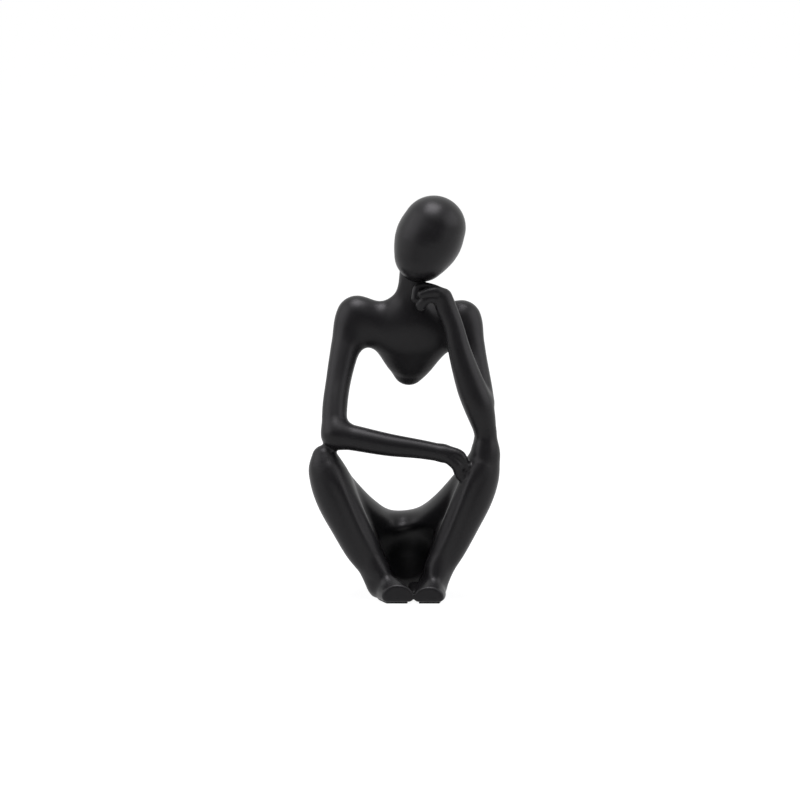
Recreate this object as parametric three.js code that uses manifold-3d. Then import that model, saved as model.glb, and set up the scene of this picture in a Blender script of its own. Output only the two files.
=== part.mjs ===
// A seated thinker: a small abstract resin figure, cast in seven pieces and bonded on steel pins.
//
// The body is drawn as a sculptor builds it on a wire: every limb is a wire with a thickness that
// swells and tapers along it, and neighbouring limbs flow into one another like soft clay.
// The skin of that body is then cut into its castings, drilled for the pins and set on felt pads.
// Millimetres, +Z up, the face looks along -Y. Left and right are the figure's own.

import * as THREE from 'three';
import Module from 'manifold-3d';
import { edgeTable, triTable } from 'three/addons/objects/MarchingCubes.js';
import { mergeVertices } from 'three/addons/utils/BufferGeometryUtils.js';

const wasm = await Module();
wasm.setup();

// Thicknesses of the body, all as radii

const CROWN_RADIUS = 9.5;
const FACE_RADIUS = 10.0;
const CHIN_RADIUS = 8.0;
const NECK_RADIUS = 3.8;
const SHOULDER_RADIUS = 4.8;
const COLLAR_RADIUS = 6.2;
const CHEST_RADIUS = 10.6;
const CHEST_TIP_RADIUS = 4.9;
const UPPER_ARM_RADIUS = 3.7;
const ELBOW_RADIUS = 4.0;
const FOREARM_RADIUS = 3.3;
const LIFTED_FOREARM_RADIUS = 4.4;
const ELBOW_WAIST_RADIUS = 2.85;
const WRIST_RADIUS = 2.6;
const FIST_RADIUS = 2.95;
const PALM_RADIUS = 2.7;
const FINGER_RADIUS = 1.4;
const FINGERTIP_RADIUS = 1.2;
const KNEE_RADIUS = 3.8;
const SHIN_RADIUS = 6.0;
const CALF_RADIUS = 5.5;
const CREST_RADIUS = 1.4;
const ANKLE_RADIUS = 4.2;
const HEEL_RADIUS = 3.8;
const HEEL_ROUND = 5.0;
const TOE_RADIUS = 3.4;
const THIGH_RADIUS = 7.4;
const HIP_RADIUS = 8.6;
const SEAT_RADIUS = 11.6;
const RIM_RADIUS = 2.2;
const HOLLOW_RADIUS = 10.5;

// How far a limb is flattened: 1 is round, less is thinner that way

const COLLAR_DEPTH = 0.86;
const CHEST_DEPTH = 0.55;
const HEAD_DEPTH = 1.08;
const SEAT_DEPTH = 0.92;
const SEAT_HEIGHT = 0.91;
const RIGHT_FOOT_WIDTH = 1.32;
const LEFT_FOOT_WIDTH = 1.27;
const LEFT_FOOT_HEIGHT = 0.9;

// Glue lines and pads

const SEAM_GAP = 0.3;            // the glue line between two castings
const PAD_THICKNESS = 0.6;
const PAD_INSET = 1.0;           // how far a pad's edge lies inside the edge of its sole
const SOLE_Z = PAD_THICKNESS + SEAM_GAP;

// Where the wires run: x to the viewer's right, y to the back, z up

const CROWN = [8.6, -4.5, 110.0];
const CHIN = [4.9, -5.8, 101.9];
const NAPE = [2.9, -2.0, 97.2];
const NECK_BASE = [2.5, 1.5, 83.1];
const RIGHT_SHOULDER = [-14.2, 2.5, 82.8];
const LEFT_SHOULDER = [16.9, 3.0, 81.7];
const CHEST_TOP = [1.3, 2.8, 78.1];
const CHEST_TIP = [1.2, 5.2, 66.9];
const RIGHT_ELBOW = [-20.3, -12.6, 49.1];
const RIGHT_WRIST = [11.2, -15.0, 43.8];
const RIGHT_UPPER_FINGERTIP = [17.7, -16.0, 40.3];
const RIGHT_LOWER_FINGERTIP = [16.3, -15.9, 37.6];
const LEFT_ELBOW = [22.6, -10.0, 58.5];
const LEFT_ELBOW_FOOT = [23.9, -12.2, 43.8];
const LEFT_FIST = [11.2, -10.0, 89.5];
const LEFT_KNUCKLE = [11.2, -10.2, 89.8];
const LEFT_FINGERTIP = [5.1, -11.6, 90.6];
const LEFT_INDEX_KNUCKLE = [10.6, -9.0, 90.9];
const LEFT_INDEX_TIP = [3.1, -10.2, 89.2];
const LEFT_PALM = [10.0, -10.6, 89.1];
const LEFT_THUMB_TIP = [4.8, -10.6, 87.3];
const RIGHT_KNEE = [-23.8, -12.0, 42.1];
const LEFT_KNEE = [23.9, -12.0, 43.4];
const RIGHT_ANKLE = [-10.0, -14.2, 10.4];
const LEFT_ANKLE = [11.0, -14.2, 10.7];
const RIGHT_HEEL = [-6.4, -4.0, 2.6];
const LEFT_HEEL = [7.9, -4.0, 2.6];
const RIGHT_TOE = [-1.7, -25.5, 2.3];
const LEFT_TOE = [6.9, -25.5, 2.0];
const RIGHT_HIP = [-8.3, 8.0, 15.6];
const LEFT_HIP = [7.2, 8.0, 15.9];
const SEAT_SINK = 1.3;           // how much the plane of the soles cuts off the seat's round bottom
const SEAT = [-0.8, 9.5, SOLE_Z + SEAT_RADIUS * SEAT_HEIGHT - SEAT_SINK];
const SEAT_HALF_WIDTH = 3.0;
const LAP_LEAN = 0.4;            // how far the lap sits to the viewer's left of the knees
const RIGHT_RIM_END = [-15.9, 0.0, 29.7];
const LEFT_RIM_END = [14.0, 0.0, 31.0];
const HOLLOW_FOOT = [2.4, -7.0, 1.0];
const HOLLOW_TOP = [1.4, -7.0, 11.0];

// Joints and pins

const TOE_FACE_Y = -25.0;        // both toe ends are cut flat here
const RIGHT_SHOULDER_SEAM_SHARE = 0.32; // how far down the upper arm its seam lies
const LEFT_SHOULDER_SEAM_SHARE = 0.4;
const ELBOW_WAIST_SHARE = 0.1;   // how far up the lifted forearm the elbow seam lies
const LEG_SEAM_Y = -0.85;        // where the seams of the lower legs meet the ground, between the feet
const LEG_SEAM_SLOPE = 0.3;      // how far they lean forward for each step up
const LEG_SEAM_SPREAD = 0.3;     // how far they run back for each step outwards
const NECK_SEAM_SHARE = 0.93;    // how far up the neck its pin sits
const SAW_OVERCUT = 2.6;         // how far a saw cut runs past the limb
const PIN_RADIUS = 0.75;
const PIN_LENGTH = 7.0;
const PIN_CLEARANCE = 0.15;

// Fineness of the skin

const CELL = 2.0;                // size of the cubes that the skin is found in
const BROAD_CELL = 2.6;          // the same for the head, the hips and the room cut for a neighbour
const HAND_CELL = 1.2;           // the same for the fingers
const WIRE_STEP = 1.2;           // longest straight piece of a bent wire
const REACH = 8.0;               // beyond this distance a rough distance will do
const RELAX_ROUNDS = 6;
const NUDGE = 0.08;              // no corner of a cube lies nearer to the skin, in cubes
const MARGIN = 1.5;              // how far the cubes reach past the body, in cubes
const PIN_SIDES = 16;
const FAR = 1e9;

// Points on the way from one place to another, as arrays of three numbers

const mix = (a, b, t) => a.map((v, i) => v + (b[i] - v) * t);
const add = (a, b) => a.map((v, i) => v + b[i]);
const minus = (a, b) => a.map((v, i) => v - b[i]);
const dot = (a, b) => a.reduce((sum, v, i) => sum + v * b[i], 0);
const unit = (a) => a.map((v) => v / Math.hypot(...a));

// The wire through a limb's stations, as short straight pieces. A station is its share of the way
// from one end to the other, its radius, and how far the wire bows aside there.
function wire(from, to, stations) {
  const knots = stations.map(([share, radius, ...bow]) => {
    const aside = bow.length ? bow : [0, 0, 0];
    return [...add(mix(from, to, share), aside), radius];
  });
  const first = knots[0].map((v, i) => 2 * v - knots[1][i]);
  const last = knots.at(-1).map((v, i) => 2 * v - knots.at(-2)[i]);
  const row = [first, ...knots, last];
  const points = [];
  for (let k = 1; k < row.length - 2; k++) {
    const [a, b, c, d] = [row[k - 1], row[k], row[k + 1], row[k + 2]];
    const length = Math.hypot(c[0] - b[0], c[1] - b[1], c[2] - b[2]);
    const steps = Math.max(2, Math.ceil(length / WIRE_STEP));
    for (let s = 0; s < steps; s++) {
      const t = s / steps;
      points.push(b.map((v, i) => 0.5 * (2 * v + (c[i] - a[i]) * t
        + (2 * a[i] - 5 * v + 4 * c[i] - d[i]) * t * t
        + (3 * v - a[i] - 3 * c[i] + d[i]) * t * t * t)));
    }
  }
  points.push(knots.at(-1));
  return points;
}

// A limb gives the distance from a point to its skin, negative inside. Between two points of its
// wire it is the cone that touches the two spheres there, flattened by the limb's squash.
function limb(from, to, stations, squash = [1, 1, 1]) {
  const points = wire(from, to, stations);
  const reach = Math.max(...points.map((p) => p[3])) * Math.max(...squash);
  const low = [0, 1, 2].map((i) => Math.min(...points.map((p) => p[i])) - reach);
  const high = [0, 1, 2].map((i) => Math.max(...points.map((p) => p[i])) + reach);
  const s = squash.map((v) => 1 / v);
  const cones = points.slice(1).map((end, k) => {
    const start = points[k];
    const span = [0, 1, 2].map((i) => (end[i] - start[i]) * s[i]);
    const length = Math.hypot(...span);
    const taper = THREE.MathUtils.clamp((end[3] - start[3]) / length, -0.95, 0.95);
    return {
      x: start[0] * s[0], y: start[1] * s[1], z: start[2] * s[2],
      ux: span[0] / length, uy: span[1] / length, uz: span[2] / length,
      length, taper, slip: taper / Math.sqrt(1 - taper * taper), radius: start[3],
    };
  });
  const distance = (x, y, z) => {
    const out = Math.hypot(
      Math.max(low[0] - x, x - high[0], 0),
      Math.max(low[1] - y, y - high[1], 0),
      Math.max(low[2] - z, z - high[2], 0),
    );
    if (out > REACH) return out;
    let best = FAR;
    for (const c of cones) {
      const px = x * s[0] - c.x;
      const py = y * s[1] - c.y;
      const pz = z * s[2] - c.z;
      const along = px * c.ux + py * c.uy + pz * c.uz;
      const aside = Math.sqrt(Math.max(px * px + py * py + pz * pz - along * along, 0));
      const t = Math.min(Math.max(along + c.slip * aside, 0), c.length);
      const qx = px - t * c.ux;
      const qy = py - t * c.uy;
      const qz = pz - t * c.uz;
      const far = Math.hypot(qx, qy, qz) + 1e-9;
      const steep = Math.hypot(qx * s[0], qy * s[1], qz * s[2]) / far;
      best = Math.min(best, (far - c.radius - c.taper * t) / steep);
    }
    return best;
  };
  return { distance, low, high, points, squash };
}

// Limbs that flow into one another, with a fillet about as wide as the softness
function flow(softness, ...bodies) {
  const distance = (x, y, z) => {
    let all = bodies[0].distance(x, y, z);
    for (let i = 1; i < bodies.length; i++) {
      const one = bodies[i].distance(x, y, z);
      const near = Math.max(softness - Math.abs(all - one), 0);
      all = Math.min(all, one) - (near * near) / (4 * softness);
    }
    return all;
  };
  const low = [0, 1, 2].map((i) => Math.min(...bodies.map((b) => b.low[i])));
  const high = [0, 1, 2].map((i) => Math.max(...bodies.map((b) => b.high[i])));
  return { distance, low, high };
}

// A body with a hollow pressed into it. The softness rounds the hollow's edge.
function pressed(softness, body, form) {
  const distance = (x, y, z) => {
    const all = body.distance(x, y, z);
    const out = -form.distance(x, y, z);
    const near = Math.max(softness - Math.abs(all - out), 0);
    return Math.max(all, out) + (near * near) / (4 * softness);
  };
  return { distance, low: body.low, high: body.high };
}

// The head: a plain egg that leans to the viewer's right, chin down

const head = limb(CROWN, CHIN, [
  [0, CROWN_RADIUS],
  [0.38, FACE_RADIUS, 0, 0.4, 0],
  [0.7, (FACE_RADIUS + CHIN_RADIUS) / 2 + 0.2, 0, 0.4, 0],
  [1, CHIN_RADIUS],
], [1, HEAD_DEPTH, 1]);

// The trunk: a collar from shoulder to shoulder, the flat chest with its free tip, and the neck

const collar = limb(RIGHT_SHOULDER, LEFT_SHOULDER, [
  [0, SHOULDER_RADIUS],
  [0.18, SHOULDER_RADIUS + 0.5, 0, -0.1, -1.9],
  [0.49, COLLAR_RADIUS, 0, -0.7, -2.6],
  [0.8, SHOULDER_RADIUS + 1.7, 0, -0.4, -2.4],
  [1, SHOULDER_RADIUS],
], [1, COLLAR_DEPTH, 1]);

const chest = limb(CHEST_TOP, CHEST_TIP, [
  [0, CHEST_RADIUS],
  [0.38, CHEST_RADIUS - 1.4, 0.4, -0.1, 0],
  [0.71, CHEST_TIP_RADIUS + 2.1, 0.4, 0.1, 0],
  [1, CHEST_TIP_RADIUS],
], [1, CHEST_DEPTH, 1]);

const neck = limb(NECK_BASE, NAPE, [
  [0, NECK_RADIUS + 0.4],
  [0.35, NECK_RADIUS, -0.3, 0.2, 0],
  [0.65, NECK_RADIUS, -0.8, 0.2, 0],
  [1, NECK_RADIUS + 0.6],
]);

// The right arm hangs to the knee, and its forearm lies across the lap to the other knee

const rightUpperArm = limb(RIGHT_SHOULDER, RIGHT_ELBOW, [
  [0, SHOULDER_RADIUS],
  [0.16, UPPER_ARM_RADIUS + 0.95, -1.5, 0.9, 0],
  [0.37, UPPER_ARM_RADIUS + 0.35, -2.1, 0.6, 0],
  [0.56, UPPER_ARM_RADIUS, -2.2, 0.4, 0],
  [0.73, UPPER_ARM_RADIUS, -2.0, 0, 0],
  [0.88, UPPER_ARM_RADIUS + 0.05, -1.3, -0.2, 0],
  [1, ELBOW_RADIUS],
]);

const rightForearm = limb(RIGHT_ELBOW, RIGHT_WRIST, [
  [0, ELBOW_RADIUS - 0.05],
  [0.19, FOREARM_RADIUS + 0.45, 0, -0.4, -0.1],
  [0.49, FOREARM_RADIUS + 0.05, 0, -0.4, -0.3],
  [0.78, (FOREARM_RADIUS + WRIST_RADIUS) / 2 - 0.1],
  [1, WRIST_RADIUS],
]);

const rightUpperFingers = limb(RIGHT_WRIST, RIGHT_UPPER_FINGERTIP, [
  [0, WRIST_RADIUS - 0.2],
  [0.3, PALM_RADIUS - 0.7, 0.2, -0.4, 1.2],
  [0.65, PALM_RADIUS - 0.9, 0.9, -0.5, 1.4],
  [1, FINGER_RADIUS],
]);

const rightLowerFingers = limb(RIGHT_WRIST, RIGHT_LOWER_FINGERTIP, [
  [0, WRIST_RADIUS - 0.2],
  [0.3, PALM_RADIUS - 0.6, 0.6, -0.7, 0.6],
  [0.65, PALM_RADIUS - 0.8, 1.0, -0.9, 0.6],
  [1, FINGER_RADIUS + 0.2],
]);

// The left arm comes down behind, stands on its knee and rises to the fist under the chin

const leftUpperArm = limb(LEFT_SHOULDER, LEFT_ELBOW, [
  [0, SHOULDER_RADIUS - 0.1],
  [0.2, UPPER_ARM_RADIUS + 0.5, 1.1, 0.6, 0],
  [0.49, UPPER_ARM_RADIUS + 0.1, 1.0, 1.4, 0],
  [0.8, UPPER_ARM_RADIUS + 0.1, 0.6, 0.9, 0],
  [1, ELBOW_RADIUS],
]);

const leftForearm = limb(LEFT_ELBOW_FOOT, LEFT_FIST, [
  [0, KNEE_RADIUS - 0.3],
  [0.09, ELBOW_WAIST_RADIUS, 1.3, -0.2, 0],
  [0.18, ELBOW_WAIST_RADIUS + 0.75, 1.8, -0.4, 0],
  [0.3, LIFTED_FOREARM_RADIUS, 1.8, -0.7, 0],
  [0.41, LIFTED_FOREARM_RADIUS - 0.05, 1.2, -0.7, 0],
  [0.54, LIFTED_FOREARM_RADIUS - 0.55, 0.8, -1.0, 0],
  [0.67, LIFTED_FOREARM_RADIUS - 1.05, 0.7, -0.8, 0],
  [0.82, WRIST_RADIUS + 0.35, 0.9, -0.4, 0],
  [0.93, FIST_RADIUS + 0.1, 0.3, 0.2, 0],
  [1, FIST_RADIUS],
]);

const leftFingers = limb(LEFT_KNUCKLE, LEFT_FINGERTIP, [
  [0, FIST_RADIUS - 0.7],
  [0.27, FINGER_RADIUS + 0.5, 0, -0.4, 1.3],
  [0.63, FINGER_RADIUS + 0.15, 0, -0.5, 1.0],
  [1, FINGERTIP_RADIUS + 0.1],
]);

const leftIndex = limb(LEFT_INDEX_KNUCKLE, LEFT_INDEX_TIP, [
  [0, FINGER_RADIUS + 0.3],
  [0.29, FINGER_RADIUS + 0.1, 0, 0.6, 1.6],
  [0.66, FINGER_RADIUS, 0, 1.0, 2.9],
  [0.93, FINGERTIP_RADIUS, 0, 0.6, 2.9],
  [1, FINGERTIP_RADIUS],
]);

const leftThumb = limb(LEFT_PALM, LEFT_THUMB_TIP, [
  [0, FINGER_RADIUS + 0.5],
  [0.4, FINGER_RADIUS + 0.1, 0, -0.6, 1.2],
  [0.8, FINGER_RADIUS + 0.2, 0, -0.6, 1.2],
  [1, FINGER_RADIUS + 0.2],
]);

// A lower leg: shin, calf, the hock between them, a soft crest down the front, and the foot.
// `side` is +1 on the viewer's right, and the right leg is a little fuller than the left one.

function lowerLeg(side, knee, ankle, heel, toe, fullness, footForm) {
  const shin = limb(knee, ankle, [
    [0, KNEE_RADIUS],
    [0.1, SHIN_RADIUS - 1.0 - fullness, side * 0.9, 0, 0],
    [0.23, SHIN_RADIUS - fullness, side * 1.25, 0.1, 0],
    [0.4, SHIN_RADIUS + 0.1 - fullness, side * 1.5, -0.1, 0],
    [0.61, SHIN_RADIUS - 0.4 - fullness, side * 1.2, -0.4, 0],
    [0.83, ANKLE_RADIUS + 0.9 - fullness, side * 0.65, -0.4, 0],
    [1, ANKLE_RADIUS],
    [1.16, ANKLE_RADIUS - 0.3],
  ]);
  const crestTop = add(knee, [side * -2.1, -3.6, -4.3]);
  const crestFoot = add(ankle, [side * -1.9, -2.6, -1.2]);
  const crest = limb(crestTop, crestFoot, [
    [0, CREST_RADIUS],
    [0.16, CREST_RADIUS, side * -1.35, -1.4 + fullness, 0],
    [0.41, CREST_RADIUS, side * -1.35, -1.8 + fullness, 0],
    [0.65, CREST_RADIUS - 0.1, side * -1.15, -1.4 + fullness, 0],
    [0.87, CREST_RADIUS - 0.2, side * -0.5, -0.7, 0],
    [1, CREST_RADIUS],
  ]);
  const calfTop = add(knee, [side * -2.7, 4.0, -9.7]);
  const calf = limb(calfTop, heel, [
    [0, CALF_RADIUS - 0.4],
    [0.43, CALF_RADIUS, 0, 0.3, 0],
    [0.81, HEEL_RADIUS + 0.2, side * -0.1, 0.3, 0],
    [1, HEEL_RADIUS],
  ]);
  const hockTop = mix(mix(knee, ankle, 0.8), mix(calfTop, heel, 0.53), 0.5);
  const hock = limb(hockTop, mix(ankle, heel, 0.6), [
    [0, CALF_RADIUS - 1.3],
    [0.5, ANKLE_RADIUS],
    [1, ANKLE_RADIUS - 0.5],
  ]);
  const foot = limb(add(heel, [0, HEEL_RADIUS - HEEL_ROUND, 0]), toe, [
    [0, TOE_RADIUS - 0.6],
    [0.42, TOE_RADIUS + footForm.instep, side * footForm.aside, 0, footForm.instep],
    [0.72, TOE_RADIUS + 0.2, side * 0.4, 0, 0.2],
    [1, TOE_RADIUS],
  ], footForm.squash);
  return { foot, body: flow(2.5, flow(3.0, shin, calf, hock, crest), foot) };
}

const rightLowerLeg = lowerLeg(-1, RIGHT_KNEE, RIGHT_ANKLE, RIGHT_HEEL, RIGHT_TOE, -0.1, {
  squash: [RIGHT_FOOT_WIDTH, 1, 1],
  instep: 0.6,
  aside: 0.5,
});
const leftLowerLeg = lowerLeg(1, LEFT_KNEE, LEFT_ANKLE, LEFT_HEEL, LEFT_TOE, 0.35, {
  squash: [LEFT_FOOT_WIDTH, 1, LEFT_FOOT_HEIGHT],
  instep: 0.4,
  aside: -0.6,
});

// The thighs run back and down into the seat, whose upper edge is a U-shaped rim

const thigh = (side, knee, hip) => limb(add(knee, [side * -1.0 - LAP_LEAN, 1.0, -4.0]), hip, [
  [0, THIGH_RADIUS - 2.5],
  [0.31, THIGH_RADIUS - 1.2, side * 1.25, -1.9, 0],
  [0.66, THIGH_RADIUS, side * 1.5, -1.9, 0],
  [1, HIP_RADIUS],
]);
const rightThigh = thigh(-1, RIGHT_KNEE, RIGHT_HIP);
const leftThigh = thigh(1, LEFT_KNEE, LEFT_HIP);

const pelvis = limb(add(SEAT, [-SEAT_HALF_WIDTH, 0, 0]), add(SEAT, [SEAT_HALF_WIDTH, 0, 0]), [
  [0, SEAT_RADIUS - 1.0],
  [0.5, SEAT_RADIUS],
  [1, SEAT_RADIUS - 1.0],
], [1, SEAT_DEPTH, SEAT_HEIGHT]);

const rim = limb(RIGHT_RIM_END, LEFT_RIM_END, [
  [0, RIM_RADIUS - 0.8],
  [0.16, RIM_RADIUS + 0.1, 0, 3.0, -5.2],
  [0.32, RIM_RADIUS, 0, 6.0, -9.4],
  [0.5, RIM_RADIUS, 0, 7.5, -11.5],
  [0.69, RIM_RADIUS, 0, 6.5, -8.5],
  [0.86, RIM_RADIUS + 0.1, 0, 3.5, -4.5],
  [1, RIM_RADIUS - 0.8],
]);

// Below the rim the seat's front falls back between the calves, as if pressed in by a round rod

const hollow = limb(HOLLOW_FOOT, HOLLOW_TOP, [[0, HOLLOW_RADIUS - 1.0], [1, HOLLOW_RADIUS]]);

// The limbs joined into three bodies that only touch one another, and the fingers of the left fist

const rightHand = flow(0.5, rightUpperFingers, rightLowerFingers);
const trunk = flow(6.0, collar, chest, neck);
const withRightArm = flow(1.0, flow(2.5, flow(6.0, trunk, rightUpperArm), rightForearm), rightHand);
const upperBody = flow(1.2, flow(5.0, withRightArm, leftUpperArm), leftForearm);
const leftFist = flow(0.4, leftFingers, leftThumb, leftIndex);
const seatAndThighs = flow(7.0, pelvis, rightThigh, leftThigh);
const hips = flow(1.0, pressed(2.0, seatAndThighs, hollow), rim);
const lowerLegs = flow(0.5, rightLowerLeg.body, flow(1.2, leftLowerLeg.body, leftForearm));
const lowerBody = flow(1.2, lowerLegs, hips);

// The skin of a body: a closed net of triangles where its distance equals `grow`. The net is
// found cube by cube, evened out, and every corner is set back onto the true surface.

const CORNERS = [
  [0, 0, 0], [1, 0, 0], [1, 1, 0], [0, 1, 0],
  [0, 0, 1], [1, 0, 1], [1, 1, 1], [0, 1, 1],
];
const EDGES = [
  [0, 1], [1, 2], [3, 2], [0, 3],
  [4, 5], [5, 6], [7, 6], [4, 7],
  [0, 4], [1, 5], [2, 6], [3, 7],
];

function skin(body, grow, cell) {
  const rim = grow + MARGIN * cell;
  const low = body.low.map((v) => v - rim);
  const size = body.high.map((v, i) => Math.ceil((v + rim - low[i]) / cell) + 1);
  const nudge = NUDGE * cell;
  const at = (i, j, k) => (k * size[1] + j) * size[0] + i;
  const value = new Float64Array(size[0] * size[1] * size[2]);
  const place = (i, j, k) => [low[0] + i * cell, low[1] + j * cell, low[2] + k * cell];
  for (let k = 0; k < size[2]; k++) {
    for (let j = 0; j < size[1]; j++) {
      for (let i = 0; i < size[0]; i++) {
        const d = body.distance(...place(i, j, k)) - grow;
        value[at(i, j, k)] = d < 0 ? Math.min(d, -nudge) : Math.max(d, nudge);
      }
    }
  }
  const points = [];
  const triangles = [];
  const known = new Map();
  const crossing = (i, j, k, edge) => {
    const [a, b] = EDGES[edge].map((c) => add([i, j, k], CORNERS[c]));
    const key = at(...a) * value.length + at(...b);
    if (!known.has(key)) {
      const t = value[at(...a)] / (value[at(...a)] - value[at(...b)]);
      known.set(key, points.length);
      points.push(mix(place(...a), place(...b), t));
    }
    return known.get(key);
  };
  for (let k = 0; k < size[2] - 1; k++) {
    for (let j = 0; j < size[1] - 1; j++) {
      for (let i = 0; i < size[0] - 1; i++) {
        let index = 0;
        CORNERS.forEach(([a, b, c], bit) => {
          if (value[at(i + a, j + b, k + c)] > 0) index |= 1 << bit;
        });
        if (edgeTable[index] === 0) continue;
        for (let n = index * 16; triTable[n] !== -1; n += 3) {
          triangles.push([0, 1, 2].map((m) => crossing(i, j, k, triTable[n + m])));
        }
      }
    }
  }
  evenOut(points, triangles, body, grow);
  return { points, triangles };
}

function evenOut(points, triangles, body, grow) {
  const neighbours = points.map(() => new Set());
  for (const [a, b, c] of triangles) {
    neighbours[a].add(b).add(c);
    neighbours[b].add(a).add(c);
    neighbours[c].add(a).add(b);
  }
  for (let round = 0; round < RELAX_ROUNDS; round++) {
    const moved = points.map((p, i) => {
      const ring = [...neighbours[i]];
      const sum = ring.reduce((total, n) => add(total, points[n]), [0, 0, 0]);
      const middle = sum.map((v) => v / ring.length);
      return ontoSkin(mix(p, middle, 0.5), body, grow);
    });
    moved.forEach((p, i) => { points[i] = p; });
  }
}

// Two steps down the slope of the distance bring a nearby point onto the surface
function ontoSkin(p, body, grow) {
  let q = p;
  const e = 0.02;
  for (let step = 0; step < 2; step++) {
    const [x, y, z] = q;
    const d = body.distance(x, y, z) - grow;
    const slope = [
      (body.distance(x + e, y, z) - body.distance(x - e, y, z)) / (2 * e),
      (body.distance(x, y + e, z) - body.distance(x, y - e, z)) / (2 * e),
      (body.distance(x, y, z + e) - body.distance(x, y, z - e)) / (2 * e),
    ];
    const steep = Math.max(slope[0] ** 2 + slope[1] ** 2 + slope[2] ** 2, 0.25);
    q = q.map((v, i) => v - (d * slope[i]) / steep);
  }
  return q;
}

// Solids, so that pieces can be cut by one another

function solid(vertProperties, triVerts) {
  const mesh = new wasm.Mesh({ numProp: 3, vertProperties, triVerts });
  mesh.merge();
  return new wasm.Manifold(mesh);
}

const skinSolid = (body, cell = CELL, grow = 0) => {
  const { points, triangles } = skin(body, grow, cell);
  return solid(Float32Array.from(points.flat()), Uint32Array.from(triangles.flat()));
};

function shapeSolid(geometry, matrix = new THREE.Matrix4()) {
  const bare = geometry.clone();
  bare.deleteAttribute('normal');
  bare.deleteAttribute('uv');
  bare.applyMatrix4(matrix);
  const merged = mergeVertices(bare, 1e-5);
  return solid(Float32Array.from(merged.attributes.position.array), Uint32Array.from(merged.index.array));
}

// A round rod, pin or disc about a point, with its axis along a direction
function rod(centre, direction, radius, length, sides = PIN_SIDES) {
  const turn = new THREE.Quaternion().setFromUnitVectors(
    new THREE.Vector3(0, 1, 0),
    new THREE.Vector3(...unit(direction)),
  );
  const matrix = new THREE.Matrix4().makeRotationFromQuaternion(turn).setPosition(...centre);
  return shapeSolid(new THREE.CylinderGeometry(radius, radius, length, sides), matrix);
}

const largest = (body) => body.decompose().sort((a, b) => b.volume() - a.volume())[0];

// The place and direction of a limb's wire at a share of its pieces
function along(oneLimb, share) {
  const { points } = oneLimb;
  const k = Math.min(Math.floor(share * (points.length - 1)), points.length - 2);
  const a = points[k].slice(0, 3);
  const b = points[k + 1].slice(0, 3);
  const place = mix(a, b, share * (points.length - 1) - k);
  return { place, direction: unit(minus(b, a)), radius: points[k][3] };
}

// Everything stands on the plane of the soles, and both feet end in a flat toe face

const standing = (body) => body.trimByPlane([0, 0, 1], SOLE_Z).trimByPlane([0, 1, 0], TOE_FACE_Y);

const headSolid = skinSolid(head, BROAD_CELL);
const headRoom = skinSolid(head, BROAD_CELL, SEAM_GAP);
const lowerRoom = skinSolid(lowerBody, BROAD_CELL, SEAM_GAP);
const lowerSolid = standing(skinSolid(lowerBody));
const upperSolid = skinSolid(upperBody).add(skinSolid(leftFist, HAND_CELL)).subtract(headRoom);

// The upper body is sawn across both upper arms, below the armpits

const rightShoulderSeam = along(rightUpperArm, RIGHT_SHOULDER_SEAM_SHARE);
const leftShoulderSeam = along(leftUpperArm, LEFT_SHOULDER_SEAM_SHARE);
const sawCut = ({ place, direction, radius }) => (
  rod(place, direction, radius + SAW_OVERCUT, SEAM_GAP, 3 * PIN_SIDES)
);
const sawn = upperSolid.subtract(sawCut(rightShoulderSeam)).subtract(sawCut(leftShoulderSeam));

// The piece of a sawn body that holds a given place
function pick(body, place) {
  const there = new THREE.Matrix4().makeTranslation(...place);
  const probe = shapeSolid(new THREE.SphereGeometry(0.5, 8, 6), there);
  return body.decompose().find((piece) => piece.intersect(probe).volume() > 0);
}

// A flat seam, through a place and square to a direction: the two sides keep the glue line's gap
const ahead = (body, { place, direction }) => (
  body.trimByPlane(direction, dot(direction, place) + SEAM_GAP / 2)
);
const behind = (body, { place, direction }) => (
  ahead(body, { place, direction: direction.map((v) => -v) })
);

// Each lower leg meets its thigh on a slanted plane from behind the heel up to the back of the
// knee, the feet meet side by side, and the left elbow ends at its waist, above the knee

const rightToeEdge = RIGHT_TOE[0] + TOE_RADIUS * RIGHT_FOOT_WIDTH;
const leftToeEdge = LEFT_TOE[0] - TOE_RADIUS * LEFT_FOOT_WIDTH;
const feetMiddle = (rightToeEdge + leftToeEdge) / 2;
const feetSeam = { place: [feetMiddle, 0, 0], direction: [1, 0, 0] };
const legSeam = (side) => ({
  place: [feetMiddle, LEG_SEAM_Y, 0],
  direction: unit([-side * LEG_SEAM_SPREAD, 1, LEG_SEAM_SLOPE]),
});
const rightLegSeam = legSeam(-1);
const leftLegSeam = legSeam(1);
const waist = along(leftForearm, ELBOW_WAIST_SHARE);
const belowWaist = behind(lowerSolid, waist);

const castings = {
  head: headSolid,
  torso: pick(sawn, NECK_BASE),
  right_arm: largest(pick(sawn, RIGHT_WRIST).subtract(lowerRoom)),
  left_arm: largest(ahead(pick(sawn, LEFT_FIST), waist)),
  hips_and_thighs: largest(ahead(ahead(belowWaist, rightLegSeam), leftLegSeam)),
  right_lower_leg: largest(behind(behind(lowerSolid, feetSeam), rightLegSeam)),
  left_lower_leg: largest(behind(ahead(belowWaist, feetSeam), leftLegSeam)),
};

// Pins: each bridges one seam, in a blind hole that is wider and longer by the clearance

// Where a thigh's wire crosses the seam of its lower leg
function crossingOf({ points }, { place, direction }) {
  const past = (p) => dot(direction, minus(p.slice(0, 3), place)) > 0;
  return along({ points }, points.findIndex(past) / (points.length - 1));
}

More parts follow.
